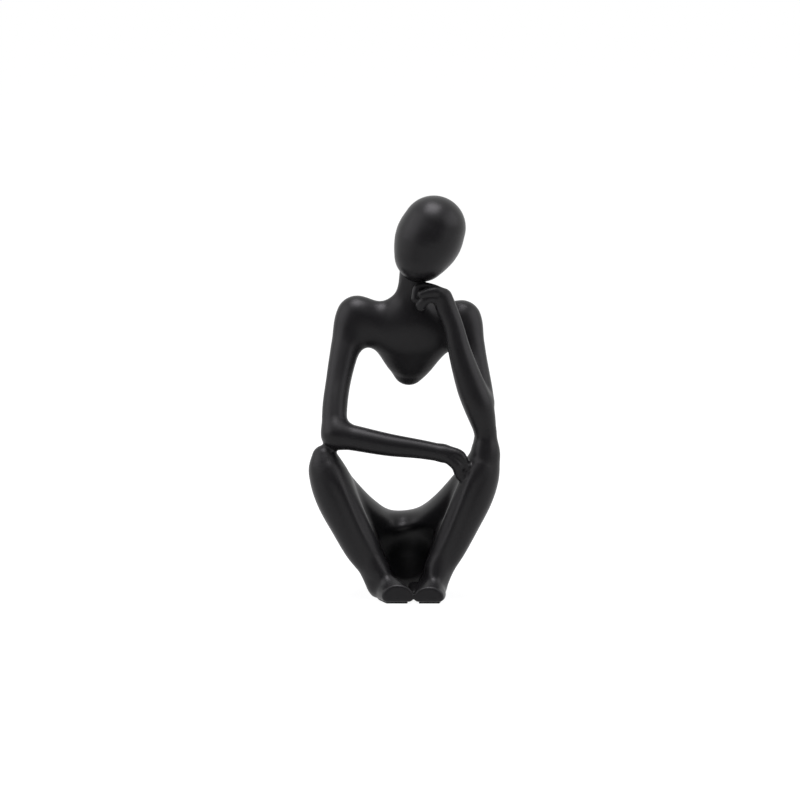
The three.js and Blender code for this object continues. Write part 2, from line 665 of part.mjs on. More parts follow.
const pins = {
  neck_pin: { ...along(neck, NECK_SEAM_SHARE), between: ['head', 'torso'] },
  right_shoulder_pin: { ...rightShoulderSeam, between: ['torso', 'right_arm'] },
  left_shoulder_pin: { ...leftShoulderSeam, between: ['torso', 'left_arm'] },
  right_elbow_pin: {
    place: mix(RIGHT_ELBOW, RIGHT_KNEE, 0.5),
    direction: minus(RIGHT_KNEE, RIGHT_ELBOW),
    between: ['right_arm', 'right_lower_leg'],
  },
  left_elbow_pin: { ...waist, between: ['left_arm', 'left_lower_leg'] },
  right_leg_pin: {
    ...crossingOf(rightThigh, rightLegSeam),
    between: ['hips_and_thighs', 'right_lower_leg'],
  },
  left_leg_pin: {
    ...crossingOf(leftThigh, leftLegSeam),
    between: ['hips_and_thighs', 'left_lower_leg'],
  },
};

const pinSolids = {};
for (const [name, { place, direction, between }] of Object.entries(pins)) {
  const hole = rod(place, direction, PIN_RADIUS + PIN_CLEARANCE, PIN_LENGTH + 2 * PIN_CLEARANCE);
  for (const piece of between) castings[piece] = largest(castings[piece].subtract(hole));
  pinSolids[name] = rod(place, direction, PIN_RADIUS, PIN_LENGTH);
}

// Felt pads: the flat of each sole and of the seat, drawn in by the inset

function padOutline(oneLimb, from, to) {
  const { points, squash } = oneLimb;
  const left = [];
  const right = [];
  for (const [x, y, z, radius] of points.filter((p) => p[1] >= from && p[1] <= to)) {
    const lift = (z - SOLE_Z) / squash[2];
    const half = squash[0] * Math.sqrt(Math.max(radius * radius - lift * lift, 0)) - PAD_INSET;
    if (half < PAD_INSET) continue;
    left.push(new THREE.Vector2(x - half, y));
    right.unshift(new THREE.Vector2(x + half, y));
  }
  return new THREE.Shape([...left, ...right]);
}

const padForm = { depth: PAD_THICKNESS, bevelEnabled: false };
const pad = (shape) => shapeSolid(new THREE.ExtrudeGeometry(shape, padForm));

function seatOutline() {
  const lift = (SEAT[2] - SOLE_Z) / SEAT_HEIGHT;
  const flat = Math.sqrt(Math.max(SEAT_RADIUS * SEAT_RADIUS - lift * lift, 0));
  const halfWidth = flat + SEAT_HALF_WIDTH * 0.4 - PAD_INSET;
  const halfDepth = flat * SEAT_DEPTH - PAD_INSET;
  const edge = new THREE.EllipseCurve(SEAT[0], SEAT[1], halfWidth, halfDepth, 0, 2 * Math.PI);
  return new THREE.Shape(edge.getPoints(32).slice(0, -1));
}

const toeEnd = TOE_FACE_Y + PAD_INSET;
const heelEnd = (heel) => heel[1] + HEEL_RADIUS - HEEL_ROUND;
const padSolids = {
  seat_pad: pad(seatOutline()),
  right_foot_pad: pad(padOutline(rightLowerLeg.foot, toeEnd, heelEnd(RIGHT_HEEL))),
  left_foot_pad: pad(padOutline(leftLowerLeg.foot, toeEnd, heelEnd(LEFT_HEEL))),
};

// The part stands with the middle of its outline over the origin

const resin = () => new THREE.MeshStandardMaterial({ color: 0x1c1b1c, roughness: 0.42, metalness: 0 });
const steel = () => new THREE.MeshStandardMaterial({ color: 0xb8b8b8, roughness: 0.35, metalness: 1 });
const felt = () => new THREE.MeshStandardMaterial({ color: 0x111111, roughness: 0.95, metalness: 0 });

const thinker = new THREE.Group();

function put(name, body, material) {
  const { vertProperties, triVerts } = body.getMesh();
  const geometry = new THREE.BufferGeometry();
  geometry.setAttribute('position', new THREE.BufferAttribute(vertProperties, 3));
  geometry.setIndex(new THREE.BufferAttribute(triVerts, 1));
  geometry.computeVertexNormals();
  const piece = new THREE.Mesh(geometry, material);
  piece.name = name;
  thinker.add(piece);
}

for (const [name, body] of Object.entries(castings)) put(name, body, resin());
for (const [name, body] of Object.entries(pinSolids)) put(name, body, steel());
for (const [name, body] of Object.entries(padSolids)) put(name, body, felt());

const outline = new THREE.Box3().setFromObject(thinker);
const middle = outline.getCenter(new THREE.Vector3());
thinker.children.forEach((piece) => piece.geometry.translate(-middle.x, -middle.y, -outline.min.z));

export default thinker;
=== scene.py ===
# %% [markdown]
# # A seated thinker in satin black
# This lesson dresses a small resin figure. The real one is cast, sanded and sprayed with one even
# coat of satin black, so nearly everything that the eye reads is form: how each limb swells, tapers
# and flows into the next. It could be put together from tubes, but tubes don't blend. The figure is
# therefore worked out as one smooth skin, and that skin is then parted along the seams of its
# castings, so that each casting is still a piece of its own.

# %% The fixed frame
import math
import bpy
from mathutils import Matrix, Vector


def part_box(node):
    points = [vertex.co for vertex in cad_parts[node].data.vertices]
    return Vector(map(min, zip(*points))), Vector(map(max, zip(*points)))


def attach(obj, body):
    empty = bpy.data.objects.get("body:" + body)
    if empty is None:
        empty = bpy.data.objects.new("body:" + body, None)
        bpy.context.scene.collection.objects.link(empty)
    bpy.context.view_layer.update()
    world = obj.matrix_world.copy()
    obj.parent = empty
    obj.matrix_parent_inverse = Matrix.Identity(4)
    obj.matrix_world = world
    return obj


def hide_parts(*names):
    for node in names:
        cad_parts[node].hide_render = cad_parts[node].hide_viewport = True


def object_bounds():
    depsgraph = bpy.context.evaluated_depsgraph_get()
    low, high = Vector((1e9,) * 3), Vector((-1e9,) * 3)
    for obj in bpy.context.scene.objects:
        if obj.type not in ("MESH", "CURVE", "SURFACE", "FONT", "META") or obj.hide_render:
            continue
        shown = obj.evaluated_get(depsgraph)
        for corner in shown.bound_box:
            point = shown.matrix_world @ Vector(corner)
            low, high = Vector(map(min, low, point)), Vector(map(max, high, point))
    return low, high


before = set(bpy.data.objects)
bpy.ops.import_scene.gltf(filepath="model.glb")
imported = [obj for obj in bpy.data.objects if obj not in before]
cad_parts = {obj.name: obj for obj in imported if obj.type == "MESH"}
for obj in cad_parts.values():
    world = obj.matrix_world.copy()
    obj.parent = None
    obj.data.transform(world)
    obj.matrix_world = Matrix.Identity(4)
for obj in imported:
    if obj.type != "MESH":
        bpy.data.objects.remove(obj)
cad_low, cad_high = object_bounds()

from concurrent.futures import ThreadPoolExecutor

import bpy
import numpy as np
from mathutils import Vector

print("the frame holds", len(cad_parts), "nodes")

# %% [markdown]
# ## Millimetres and places
# The lengths of so small a figure are easiest to read in millimetres, and every mesh is turned into
# metres when it is made. Empties could mark the knees and elbows, but then the shape would hang on
# objects that nobody sees, so the places where limbs begin and end are kept here by name.

# %% Millimetres and places
MM = 0.001
PLACES = {}


def put(**places):
    """Places on the body, kept by name as points in millimetres."""
    PLACES.update({name: np.array(place) for name, place in places.items()})


print("a millimetre is", MM, "of Blender's metres")

# %% [markdown]
# ## Wires
# A sculptor builds such a body on a wire. Each limb is a wire with a thickness that swells and
# tapers along it. A curve object with a bevel could carry that, but it gives only a tube. Here the
# wire is an array of points and radii, so that later steps can measure from it.

# %% Wires
WIRE_STEP = 1.0


def wire(start, end, stations):
    """Points and radii along a limb. A station is (share of the way, radius, bow aside), and the
    curve through them is a Catmull-Rom spline: each stretch leaves a station in the direction
    from the station before it to the station after it."""
    knots = np.array([[*(start + (end - start) * share + np.array(bow or (0, 0, 0))), radius]
                      for share, radius, *bow in stations])
    row = np.vstack([2 * knots[0] - knots[1], knots, 2 * knots[-1] - knots[-2]])
    pieces = []
    for a, b, c, d in zip(row[:-3], row[1:-2], row[2:-1], row[3:]):
        steps = max(2, math.ceil(np.linalg.norm(c[:3] - b[:3]) / WIRE_STEP))
        t = (np.arange(steps) / steps)[:, None]
        pieces.append(0.5 * (2 * b + (c - a) * t + (2 * a - 5 * b + 4 * c - d) * t ** 2
                             + (3 * b - a - 3 * c + d) * t ** 3))
    return np.vstack([*pieces, knots[-1:]])


print("a wire is cut into steps of about", WIRE_STEP, "mm")

# %% [markdown]
# ## Limbs
# A limb gives, for any point in space, the distance to its skin and the direction away from it.
# Between two points of the wire the skin is the cone that touches the two balls there. Distances
# are a good way to draw such a body because they can be blended, which no pair of tubes can.

# %% Limbs
# Cones are taken six at a time. A bunch nearer than CLOSE is always looked at, and one farther off
# than REACH never is. A cone steeper than STEEPEST_TAPER would swallow its smaller ball.
REACH, CLOSE, BUNCH = 8.0, 1.0, 6
STEEPEST_TAPER = 0.95
TINY = 1e-6


def limb(start, end, stations, squash=(1, 1, 1)):
    """The distance function of one limb: the least distance to the cones of its wire. In a space
    stretched by 1/squash a cone's distance is (length from the wire's foot point) - (radius there),
    and dividing by the slope of that value turns it back into millimetres. The cones are taken a
    bunch at a time, and only for the points that are within reach of the bunch's box."""
    points = wire(PLACES[start] if isinstance(start, str) else start,
                  PLACES[end] if isinstance(end, str) else end, stations)
    s = (1 / np.array(squash)).astype(np.float32)
    base = (points[:-1, :3] * s).astype(np.float32)
    span = (np.diff(points[:, :3], axis=0) * s).astype(np.float32)
    length = np.linalg.norm(span, axis=1)
    span = span / length[:, None]
    radius = points[:-1, 3].astype(np.float32)
    taper = np.clip(np.diff(points[:, 3]).astype(np.float32) / length,
                    -STEEPEST_TAPER, STEEPEST_TAPER)
    slip = taper / np.sqrt(1 - taper ** 2)
    around = points[:, 3:] * squash
    bunches = []
    for i in range(0, len(base), BUNCH):
        k = slice(i, i + BUNCH + 1)
        bunches.append((slice(i, i + BUNCH), (points[k, :3] - around[k]).min(0).astype(np.float32),
                        (points[k, :3] + around[k]).max(0).astype(np.float32)))

    def cone(p, k):
        q = p[:, None] * s - base[k]
        along = (q * span[k]).sum(2)
        aside = np.sqrt(np.maximum((q * q).sum(2) - along ** 2, 0))
        t = np.clip(along + slip[k] * aside, 0, length[k])
        q -= t[..., None] * span[k]
        far = np.sqrt((q * q).sum(2)) + TINY
        steep = np.sqrt(((q * s) ** 2).sum(2)) / far
        d = (far - radius[k] - taper[k] * t) / steep
        best = d.argmin(1)
        row = np.arange(len(p))
        return d[row, best], q[row, best] * s / (far * steep)[row, best, None]

    def distance(p):
        d, slope = np.full(len(p), np.inf, np.float32), np.zeros(p.shape, np.float32)
        for k, low, high in bunches:
            aside = np.maximum(np.maximum(low - p, p - high), 0)
            gap = np.sqrt((aside * aside).sum(1))
            away = (gap < d) & (gap >= REACH)
            d[away], slope[away] = gap[away], aside[away] / gap[away, None]
            near = np.flatnonzero(gap < np.clip(d, CLOSE, REACH))
            if len(near):
                e, other = cone(p[near], k)
                less = e < d[near]
                d[near[less]], slope[near[less]] = e[less], other[less]
        return d, slope

    distance.points = points
    distance.squash = squash
    return distance


print("a limb is a function from points to distances and slopes")

# %% [markdown]
# ## Flowing together and pressing in
# The real figure looks modelled in clay: its limbs run into one another without a border. Boolean
# modifiers could join them, but they leave a crease. Two distances are blended instead, wherever
# they are nearly equal, and the same blend turned inside out presses a hollow.

# %% Flowing together and pressing in
def flow(softness, *bodies):
    """Bodies that run into one another like soft clay. Where two distances are closer to each other
    than the softness, their least value is lowered by (softness - difference)^2 / (4 softness)."""
    def distance(p):
        d, slope = bodies[0](p)
        for body in bodies[1:]:
            e, other = body(p)
            share = 0.5 + 0.5 * np.clip((e - d) / softness, -1, 1)[:, None]
            slope = share * slope + (1 - share) * other
            near = np.maximum(softness - abs(d - e), 0)
            d = np.minimum(d, e) - near ** 2 / (4 * softness)
        return d, slope
    return distance


def inside_out(form):
    """The same skin with its inside and outside changed over."""
    def distance(p):
        d, slope = form(p)
        return -d, -slope
    return distance


def pressed(softness, body, form):
    """A body with another form pressed into it, and the edge rounded: where the two insides would
    flow together, the body is gone, so it is flow turned inside out."""
    return inside_out(flow(softness, inside_out(body), form))


def beyond(place, direction):
    """Everything past a flat plane, as a form: its distance is how far a point lacks of it."""
    place, direction = np.float32(place), np.float32(direction)
    return lambda p: ((place - p) @ direction, np.broadcast_to(-direction, p.shape))


print("limbs can flow together, and a form can be pressed into them")

# %% [markdown]
# ## Head
# The head is a plain egg that leans over, without a face. A stretched ball could stand for it, but
# the real egg is blunt at the crown and narrow at the chin, so it is a short limb with four sizes.

# %% Head
CROWN_RADIUS, FACE_RADIUS, CHIN_RADIUS = 9.5, 10.0, 8.0
HEAD_DEPTH = 1.08

put(crown=(8.6, -4.5, 110.0), chin=(4.9, -5.8, 101.9))
head = limb("crown", "chin", [
    (0, CROWN_RADIUS),
    (0.38, FACE_RADIUS, 0, 0.4, 0),
    (0.7, (FACE_RADIUS + CHIN_RADIUS) / 2 + 0.2, 0, 0.4, 0),
    (1, CHIN_RADIUS),
], (1, HEAD_DEPTH, 1))
print("the head is", round(head.points[:, 3].max() * 2, 1), "mm wide")

# %% [markdown]
# ## Trunk
# The collar, the flat chest with its free lower tip and the neck are three short limbs. They are
# joined very softly, so that no border shows between them, as clay is smoothed with a thumb. The
# squash makes the collar and the chest shallower than they are wide.

# %% Collar, chest and neck
SHOULDER_RADIUS, COLLAR_RADIUS, NECK_RADIUS = 4.8, 6.2, 3.8
CHEST_RADIUS, CHEST_TIP_RADIUS = 10.6, 4.9
COLLAR_DEPTH, CHEST_DEPTH = 0.86, 0.55
TRUNK_SOFTNESS = 6.0

put(right_shoulder=(-14.2, 2.5, 82.8), left_shoulder=(16.9, 3.0, 81.7),
    chest_top=(1.3, 2.8, 78.1), chest_tip=(1.2, 5.2, 66.9),
    neck_base=(2.5, 1.5, 83.1), nape=(2.9, -2.0, 97.2))
collar = limb("right_shoulder", "left_shoulder", [
    (0, SHOULDER_RADIUS),
    (0.18, SHOULDER_RADIUS + 0.5, 0, -0.1, -1.9),
    (0.49, COLLAR_RADIUS, 0, -0.7, -2.6),
    (0.8, SHOULDER_RADIUS + 1.7, 0, -0.4, -2.4),
    (1, SHOULDER_RADIUS),
], (1, COLLAR_DEPTH, 1))
chest = limb("chest_top", "chest_tip", [
    (0, CHEST_RADIUS),
    (0.38, CHEST_RADIUS - 1.4, 0.4, -0.1, 0),
    (0.71, CHEST_TIP_RADIUS + 2.1, 0.4, 0.1, 0),
    (1, CHEST_TIP_RADIUS),
], (1, CHEST_DEPTH, 1))
neck = limb("neck_base", "nape", [
    (0, NECK_RADIUS + 0.4),
    (0.35, NECK_RADIUS, -0.3, 0.2, 0),
    (0.65, NECK_RADIUS, -0.8, 0.2, 0),
    (1, NECK_RADIUS + 0.6),
])
trunk = flow(TRUNK_SOFTNESS, collar, chest, neck)
print("the trunk is", len(collar.points) + len(chest.points) + len(neck.points), "points of wire")

# %% [markdown]
# ## Right arm
# The right arm hangs down to its knee, and its forearm crosses the lap. It is nearly straight, and
# what makes it look alive is how little its thickness changes, so it has many stations with small
# steps between them. The bow of the upper arm carries it outwards, past the chest.

# %% Right arm
UPPER_ARM_RADIUS, ELBOW_RADIUS, FOREARM_RADIUS, WRIST_RADIUS = 3.7, 4.0, 3.3, 2.6

put(right_elbow=(-20.3, -12.6, 49.1), right_wrist=(11.2, -15.0, 43.8))
right_upper_arm = limb("right_shoulder", "right_elbow", [
    (0, SHOULDER_RADIUS),
    (0.16, UPPER_ARM_RADIUS + 0.95, -1.5, 0.9, 0),
    (0.37, UPPER_ARM_RADIUS + 0.35, -2.1, 0.6, 0),
    (0.56, UPPER_ARM_RADIUS, -2.2, 0.4, 0),
    (0.73, UPPER_ARM_RADIUS, -2.0, 0, 0),
    (0.88, UPPER_ARM_RADIUS + 0.05, -1.3, -0.2, 0),
    (1, ELBOW_RADIUS),
])
right_forearm = limb("right_elbow", "right_wrist", [
    (0, ELBOW_RADIUS - 0.05),
    (0.19, FOREARM_RADIUS + 0.45, 0, -0.4, -0.1),
    (0.49, FOREARM_RADIUS + 0.05, 0, -0.4, -0.3),
    (0.78, (FOREARM_RADIUS + WRIST_RADIUS) / 2 - 0.1),
    (1, WRIST_RADIUS),
])
print("the right arm is drawn")

# %% [markdown]
# ## Right hand
# The hand hooks over the other knee in two long rolls with a groove between them. Single fingers
# could be drawn, but the real casting has none here: its maker only suggests a hand.

# %% Right hand
PALM_RADIUS, FINGER_RADIUS = 2.7, 1.4
FINGER_GROOVE = 0.5

put(right_upper_fingertip=(17.7, -16.0, 40.3), right_lower_fingertip=(16.3, -15.9, 37.6))
right_upper_fingers = limb("right_wrist", "right_upper_fingertip", [
    (0, WRIST_RADIUS - 0.2),
    (0.3, PALM_RADIUS - 0.7, 0.2, -0.4, 1.2),
    (0.65, PALM_RADIUS - 0.9, 0.9, -0.5, 1.4),
    (1, FINGER_RADIUS),
])
right_lower_fingers = limb("right_wrist", "right_lower_fingertip", [
    (0, WRIST_RADIUS - 0.2),
    (0.3, PALM_RADIUS - 0.6, 0.6, -0.7, 0.6),
    (0.65, PALM_RADIUS - 0.8, 1.0, -0.9, 0.6),
    (1, FINGER_RADIUS + 0.2),
])
right_hand = flow(FINGER_GROOVE, right_upper_fingers, right_lower_fingers)
print("the right hand is drawn")

# %% [markdown]
# ## Left arm
# The left arm comes down behind, stands on its knee by a narrow waist, and rises to the chin. The
# upper arm and the forearm overlap at the elbow, where the real figure has one knot of clay, so
# both are drawn as whole limbs and left to flow together.

# %% Left arm
LIFTED_FOREARM_RADIUS, ELBOW_WAIST_RADIUS, FIST_RADIUS = 4.4, 2.85, 2.95
KNEE_RADIUS = 3.8

put(left_elbow=(22.6, -10.0, 58.5), left_elbow_foot=(23.9, -12.2, 43.8),
    left_fist=(11.2, -10.0, 89.5))
left_upper_arm = limb("left_shoulder", "left_elbow", [
    (0, SHOULDER_RADIUS - 0.1),
    (0.2, UPPER_ARM_RADIUS + 0.5, 1.1, 0.6, 0),
    (0.49, UPPER_ARM_RADIUS + 0.1, 1.0, 1.4, 0),
    (0.8, UPPER_ARM_RADIUS + 0.1, 0.6, 0.9, 0),
    (1, ELBOW_RADIUS),
])
left_forearm = limb("left_elbow_foot", "left_fist", [
    (0, KNEE_RADIUS - 0.3),
    (0.09, ELBOW_WAIST_RADIUS, 1.3, -0.2, 0),
    (0.18, ELBOW_WAIST_RADIUS + 0.75, 1.8, -0.4, 0),
    (0.3, LIFTED_FOREARM_RADIUS, 1.8, -0.7, 0),
    (0.41, LIFTED_FOREARM_RADIUS - 0.05, 1.2, -0.7, 0),
    (0.54, LIFTED_FOREARM_RADIUS - 0.55, 0.8, -1.0, 0),
    (0.67, LIFTED_FOREARM_RADIUS - 1.05, 0.7, -0.8, 0),
    (0.82, WRIST_RADIUS + 0.35, 0.9, -0.4, 0),
    (0.93, FIST_RADIUS + 0.1, 0.3, 0.2, 0),
    (1, FIST_RADIUS),
])
print("the left arm is drawn")

# %% [markdown]
# ## Left fist
# The fist under the chin is a few bent rolls: the folded fingers, the index finger above them and
# the thumb below. They meet with hardly any softness, because the grooves between them are what
# says that this is a hand.

# %% Left fist
FINGERTIP_RADIUS = 1.2
FIST_GROOVE = 0.4

put(left_knuckle=(11.2, -10.2, 89.8), left_fingertip=(5.1, -11.6, 90.6),
    left_index_knuckle=(10.6, -9.0, 90.9), left_index_tip=(3.1, -10.2, 89.2),
    left_palm=(10.0, -10.6, 89.1), left_thumb_tip=(4.8, -10.6, 87.3))
left_fingers = limb("left_knuckle", "left_fingertip", [
    (0, FIST_RADIUS - 0.7),
    (0.27, FINGER_RADIUS + 0.5, 0, -0.4, 1.3),
    (0.63, FINGER_RADIUS + 0.15, 0, -0.5, 1.0),
    (1, FINGERTIP_RADIUS + 0.1),
])
left_index = limb("left_index_knuckle", "left_index_tip", [
    (0, FINGER_RADIUS + 0.3),
    (0.29, FINGER_RADIUS + 0.1, 0, 0.6, 1.6),
    (0.66, FINGER_RADIUS, 0, 1.0, 2.9),
    (0.93, FINGERTIP_RADIUS, 0, 0.6, 2.9),
    (1, FINGERTIP_RADIUS),
])
left_thumb = limb("left_palm", "left_thumb_tip", [
    (0, FINGER_RADIUS + 0.5),
    (0.4, FINGER_RADIUS + 0.1, 0, -0.6, 1.2),
    (0.8, FINGER_RADIUS + 0.2, 0, -0.6, 1.2),
    (1, FINGER_RADIUS + 0.2),
])
left_fist = flow(FIST_GROOVE, left_fingers, left_thumb, left_index)
print("the left fist is drawn")

# %% [markdown]
# ## Shin ridges
# Down the front of each shin runs a sharp ridge, and inside it lies a long flat face that catches
# the light. Two thin limbs, one along the ridge and one along the inner edge of the face, are
# flowed together so widely that the skin between them is nearly flat.

# %% Shin ridges
CREST_RADIUS = 1.4
FACET_SOFTNESS = 4.0

put(right_knee=(-23.8, -12.0, 42.1), left_knee=(23.9, -12.0, 43.4),
    right_ankle=(-10.0, -14.2, 10.4), left_ankle=(11.0, -14.2, 10.7))


def shin_ridge(side, knee, ankle, slimness):
    """The slab between the ridge and the inner edge: two wires from under the knee to the ankle,
    both bowed forwards, and less so on a slimmer leg."""
    crest = limb(knee + (side * -1.6, -3.4, -3.3), ankle + (side * -1.4, -3.4, -0.6), [
        (0, CREST_RADIUS + 0.2),
        (0.16, CREST_RADIUS - 0.3, side * -0.6, -2.1 + slimness, 0),
        (0.41, CREST_RADIUS - 0.5, side * -0.4, -2.5 + slimness, 0),
        (0.65, CREST_RADIUS - 0.5, side * -0.2, -2.1 + slimness, 0),
        (0.87, CREST_RADIUS - 0.3, side * -0.1, -1.0, 0),
        (1, CREST_RADIUS + 0.3),
    ])
    inner_edge = limb(knee + (side * -3.4, -2.0, -5.0), ankle + (side * -3.2, -1.6, -0.6), [
        (0, CREST_RADIUS - 0.2),
        (0.16, CREST_RADIUS - 0.3, side * -1.1, -1.1 + slimness, 0),
        (0.41, CREST_RADIUS - 0.4, side * -1.5, -1.4 + slimness, 0),
        (0.65, CREST_RADIUS - 0.4, side * -1.2, -1.2 + slimness, 0),
        (0.87, CREST_RADIUS - 0.3, side * -0.4, -0.6, 0),
        (1, CREST_RADIUS - 0.1),
    ])
    return flow(FACET_SOFTNESS, crest, inner_edge)


print("a shin ridge is two wires with one skin")

# %% [markdown]
# ## Feet
# A foot is a plain block, wider than it is high, with its top sloping up to the ankle. A box with
# bevels could give the block, but not the way that its sides fade into the heel. So it is a limb
# again, squashed, with a slim second one for the slope.

# %% Feet
HEEL_RADIUS, HEEL_ROUND, TOE_RADIUS, INSTEP_RADIUS = 3.8, 5.0, 3.4, 2.2
FOOT_SOFTNESS = 2.5

put(right_heel=(-6.4, -4.0, 2.6), left_heel=(7.9, -4.0, 2.6),
    right_toe=(-1.7, -25.5, 2.3), left_toe=(6.9, -25.5, 2.0))


def foot_block(side, heel, toe, instep, aside, squash):
    """The block of a foot: a wire from the heel to the toes, thickest and highest at the instep."""
    return limb(heel + (0, HEEL_RADIUS - HEEL_ROUND, 0), toe, [
        (0, TOE_RADIUS - 0.6),
        (0.42, TOE_RADIUS + instep, side * aside, 0, instep),
        (0.72, TOE_RADIUS + 0.2, side * 0.4, 0, 0.2),
        (1, TOE_RADIUS),
    ], squash)


def foot_slope(side, ankle, toe):
    """The slope of a foot's top: a slim wire from the ankle down to just behind the toes."""
    return limb(ankle + (side * -0.8, -2.2, -0.6), toe + (side * 0.8, 4.2, 1.7), [
        (0, INSTEP_RADIUS + 0.4),
        (0.5, INSTEP_RADIUS, 0, 0.3, -0.3),
        (1, INSTEP_RADIUS - 0.5),
    ])


print("a foot is a block and a slope")

# %% [markdown]
# ## Lower legs
# A lower leg is a shin, a calf and the hock between them, with the ridge down its front, set on its
# foot. The left leg could be the right one mirrored, but the real legs differ a little. Both come
# from one function instead, and a few numbers say how slim each leg is and how its foot lies.

# %% Lower legs
SHIN_RADIUS, CALF_RADIUS, ANKLE_RADIUS = 6.0, 5.5, 4.2
RIGHT_FOOT_WIDTH, LEFT_FOOT_WIDTH, LEFT_FOOT_HEIGHT = 1.32, 1.27, 0.9
HOCK_SHIN_SHARE, HOCK_CALF_SHARE, HOCK_ANKLE_SHARE = 0.8, 0.53, 0.6
LEG_SOFTNESS, RIDGE_SOFTNESS = 3.0, 2.0


def mix(a, b, t):
    """The point at share t of the way from a to b."""
    return a + (b - a) * t


def lower_leg(side, name, slimness, instep, aside, squash):
    """One lower leg as (whole, foot). side is +1 on the viewer's right, and slimness
    is taken off the radii of the shin."""
    knee, ankle = PLACES[name + "_knee"], PLACES[name + "_ankle"]
    heel, toe = PLACES[name + "_heel"], PLACES[name + "_toe"]
    shin = limb(knee, ankle, [
        (0, KNEE_RADIUS),
        (0.1, SHIN_RADIUS - 1.0 - slimness, side * 0.9, 0, 0),
        (0.23, SHIN_RADIUS - slimness, side * 1.25, 0.1, 0),
        (0.4, SHIN_RADIUS + 0.1 - slimness, side * 1.5, -0.1, 0),
        (0.61, SHIN_RADIUS - 0.4 - slimness, side * 1.2, -0.4, 0),
        (0.83, ANKLE_RADIUS + 0.9 - slimness, side * 0.65, -0.4, 0),
        (1, ANKLE_RADIUS),
        (1.16, ANKLE_RADIUS - 0.3),
    ])
    calf_top = knee + (side * -2.7, 4.0, -9.7)
    calf = limb(calf_top, heel, [
        (0, CALF_RADIUS - 0.4),
        (0.43, CALF_RADIUS, 0, 0.3, 0),
        (0.81, HEEL_RADIUS + 0.2, side * -0.1, 0.3, 0),
        (1, HEEL_RADIUS),
    ])
    hock_top = mix(mix(knee, ankle, HOCK_SHIN_SHARE), mix(calf_top, heel, HOCK_CALF_SHARE), 0.5)
    hock = limb(hock_top, mix(ankle, heel, HOCK_ANKLE_SHARE), [
        (0, CALF_RADIUS - 1.3),
        (0.5, ANKLE_RADIUS),
        (1, ANKLE_RADIUS - 0.5),
    ])
    foot = foot_block(side, heel, toe, instep, aside, squash)
    leg = flow(RIDGE_SOFTNESS, flow(LEG_SOFTNESS, shin, calf, hock),
               shin_ridge(side, knee, ankle, slimness))
    return flow(FOOT_SOFTNESS, leg, flow(FOOT_SOFTNESS, foot, foot_slope(side, ankle, toe))), foot


right_lower_leg, right_foot = lower_leg(-1, "right", -0.1, 0.2, 0.5, (RIGHT_FOOT_WIDTH, 1, 1))
left_lower_leg, left_foot = lower_leg(1, "left", 0.35, 0.1, -0.6,
                                      (LEFT_FOOT_WIDTH, 1, LEFT_FOOT_HEIGHT))
print("the lower legs are drawn")

# %% [markdown]
# ## Where the body stands
# The dressed figure has to stand exactly where the fixed frame does. The frame's own boxes say
# where that is: the toe faces lead in y, the feet part in x, and the pads' tops carry the soles.

# %% Where the body stands
TOE_FACE_Y = -25.0
SEAM_GAP = 0.3

toe_low, toe_high = (np.array(c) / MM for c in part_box("right_lower_leg"))
feet_middle = (PLACES["right_toe"][0] + TOE_RADIUS * RIGHT_FOOT_WIDTH
               + PLACES["left_toe"][0] - TOE_RADIUS * LEFT_FOOT_WIDTH) / 2
OFFSET = np.array([toe_high[0] + SEAM_GAP / 2 - feet_middle, toe_low[1] - TOE_FACE_Y, 0.0])
PAD_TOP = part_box("seat_pad")[1].z / MM
print("the body is moved by", OFFSET.round(2), "mm, onto pads", round(PAD_TOP, 2), "mm thick")

# %% [markdown]
# ## Thighs and seat
# The thighs run from under the knees back and down into a round seat, without any border. They are
# three thick limbs, flowed together more softly than anything else on the figure.

# %% Thighs and seat
THIGH_RADIUS, HIP_RADIUS, SEAT_RADIUS = 7.4, 8.6, 11.6
SEAT_DEPTH, SEAT_HEIGHT, SEAT_HALF_WIDTH = 0.92, 0.91, 3.0
LAP_LEAN = 0.4
LAP_SOFTNESS = 7.0

put(right_hip=(-8.3, 8.0, 15.6), left_hip=(7.2, 8.0, 15.9), seat=(-0.8, 9.5, 10.156))


def thigh(side, knee, hip):
    """A thigh, from just under the knee back to the hip."""
    return limb(knee + (side * -1.0 - LAP_LEAN, 1.0, -4.0), hip, [
        (0, THIGH_RADIUS - 2.5),
        (0.31, THIGH_RADIUS - 1.2, side * 1.25, -1.9, 0),
        (0.66, THIGH_RADIUS, side * 1.5, -1.9, 0),
        (1, HIP_RADIUS),
    ])


right_thigh = thigh(-1, PLACES["right_knee"], PLACES["right_hip"])
left_thigh = thigh(1, PLACES["left_knee"], PLACES["left_hip"])
pelvis = limb(PLACES["seat"] - (SEAT_HALF_WIDTH, 0, 0), PLACES["seat"] + (SEAT_HALF_WIDTH, 0, 0), [
    (0, SEAT_RADIUS - 1.0),
    (0.5, SEAT_RADIUS),
    (1, SEAT_RADIUS - 1.0),
], (1, SEAT_DEPTH, SEAT_HEIGHT))
seat = flow(LAP_SOFTNESS, pelvis, right_thigh, left_thigh)
print("the thighs and the seat are drawn")

# %% [markdown]
# ## Hollow and rim
# Between the thighs the lap is scooped out, and a thin rim follows the upper edge of the scoop like
# a hem of two rolls. The scoop is pressed in first and the rim laid over its edge, because a rim
# that was there before the scoop would lose its inner half.

# %% Hollow and rim
HOLLOW_RADIUS, HOLLOW_EDGE = 10.5, 2.0
RIM_RADIUS, RIM_SOFTNESS, HEM_GROOVE = 2.2, 1.0, 0.6

put(right_rim_end=(-15.9, 0.0, 29.7), left_rim_end=(14.0, 0.0, 31.0),
    hollow_foot=(2.4, -7.0, 1.0), hollow_top=(1.4, -7.0, 11.0))


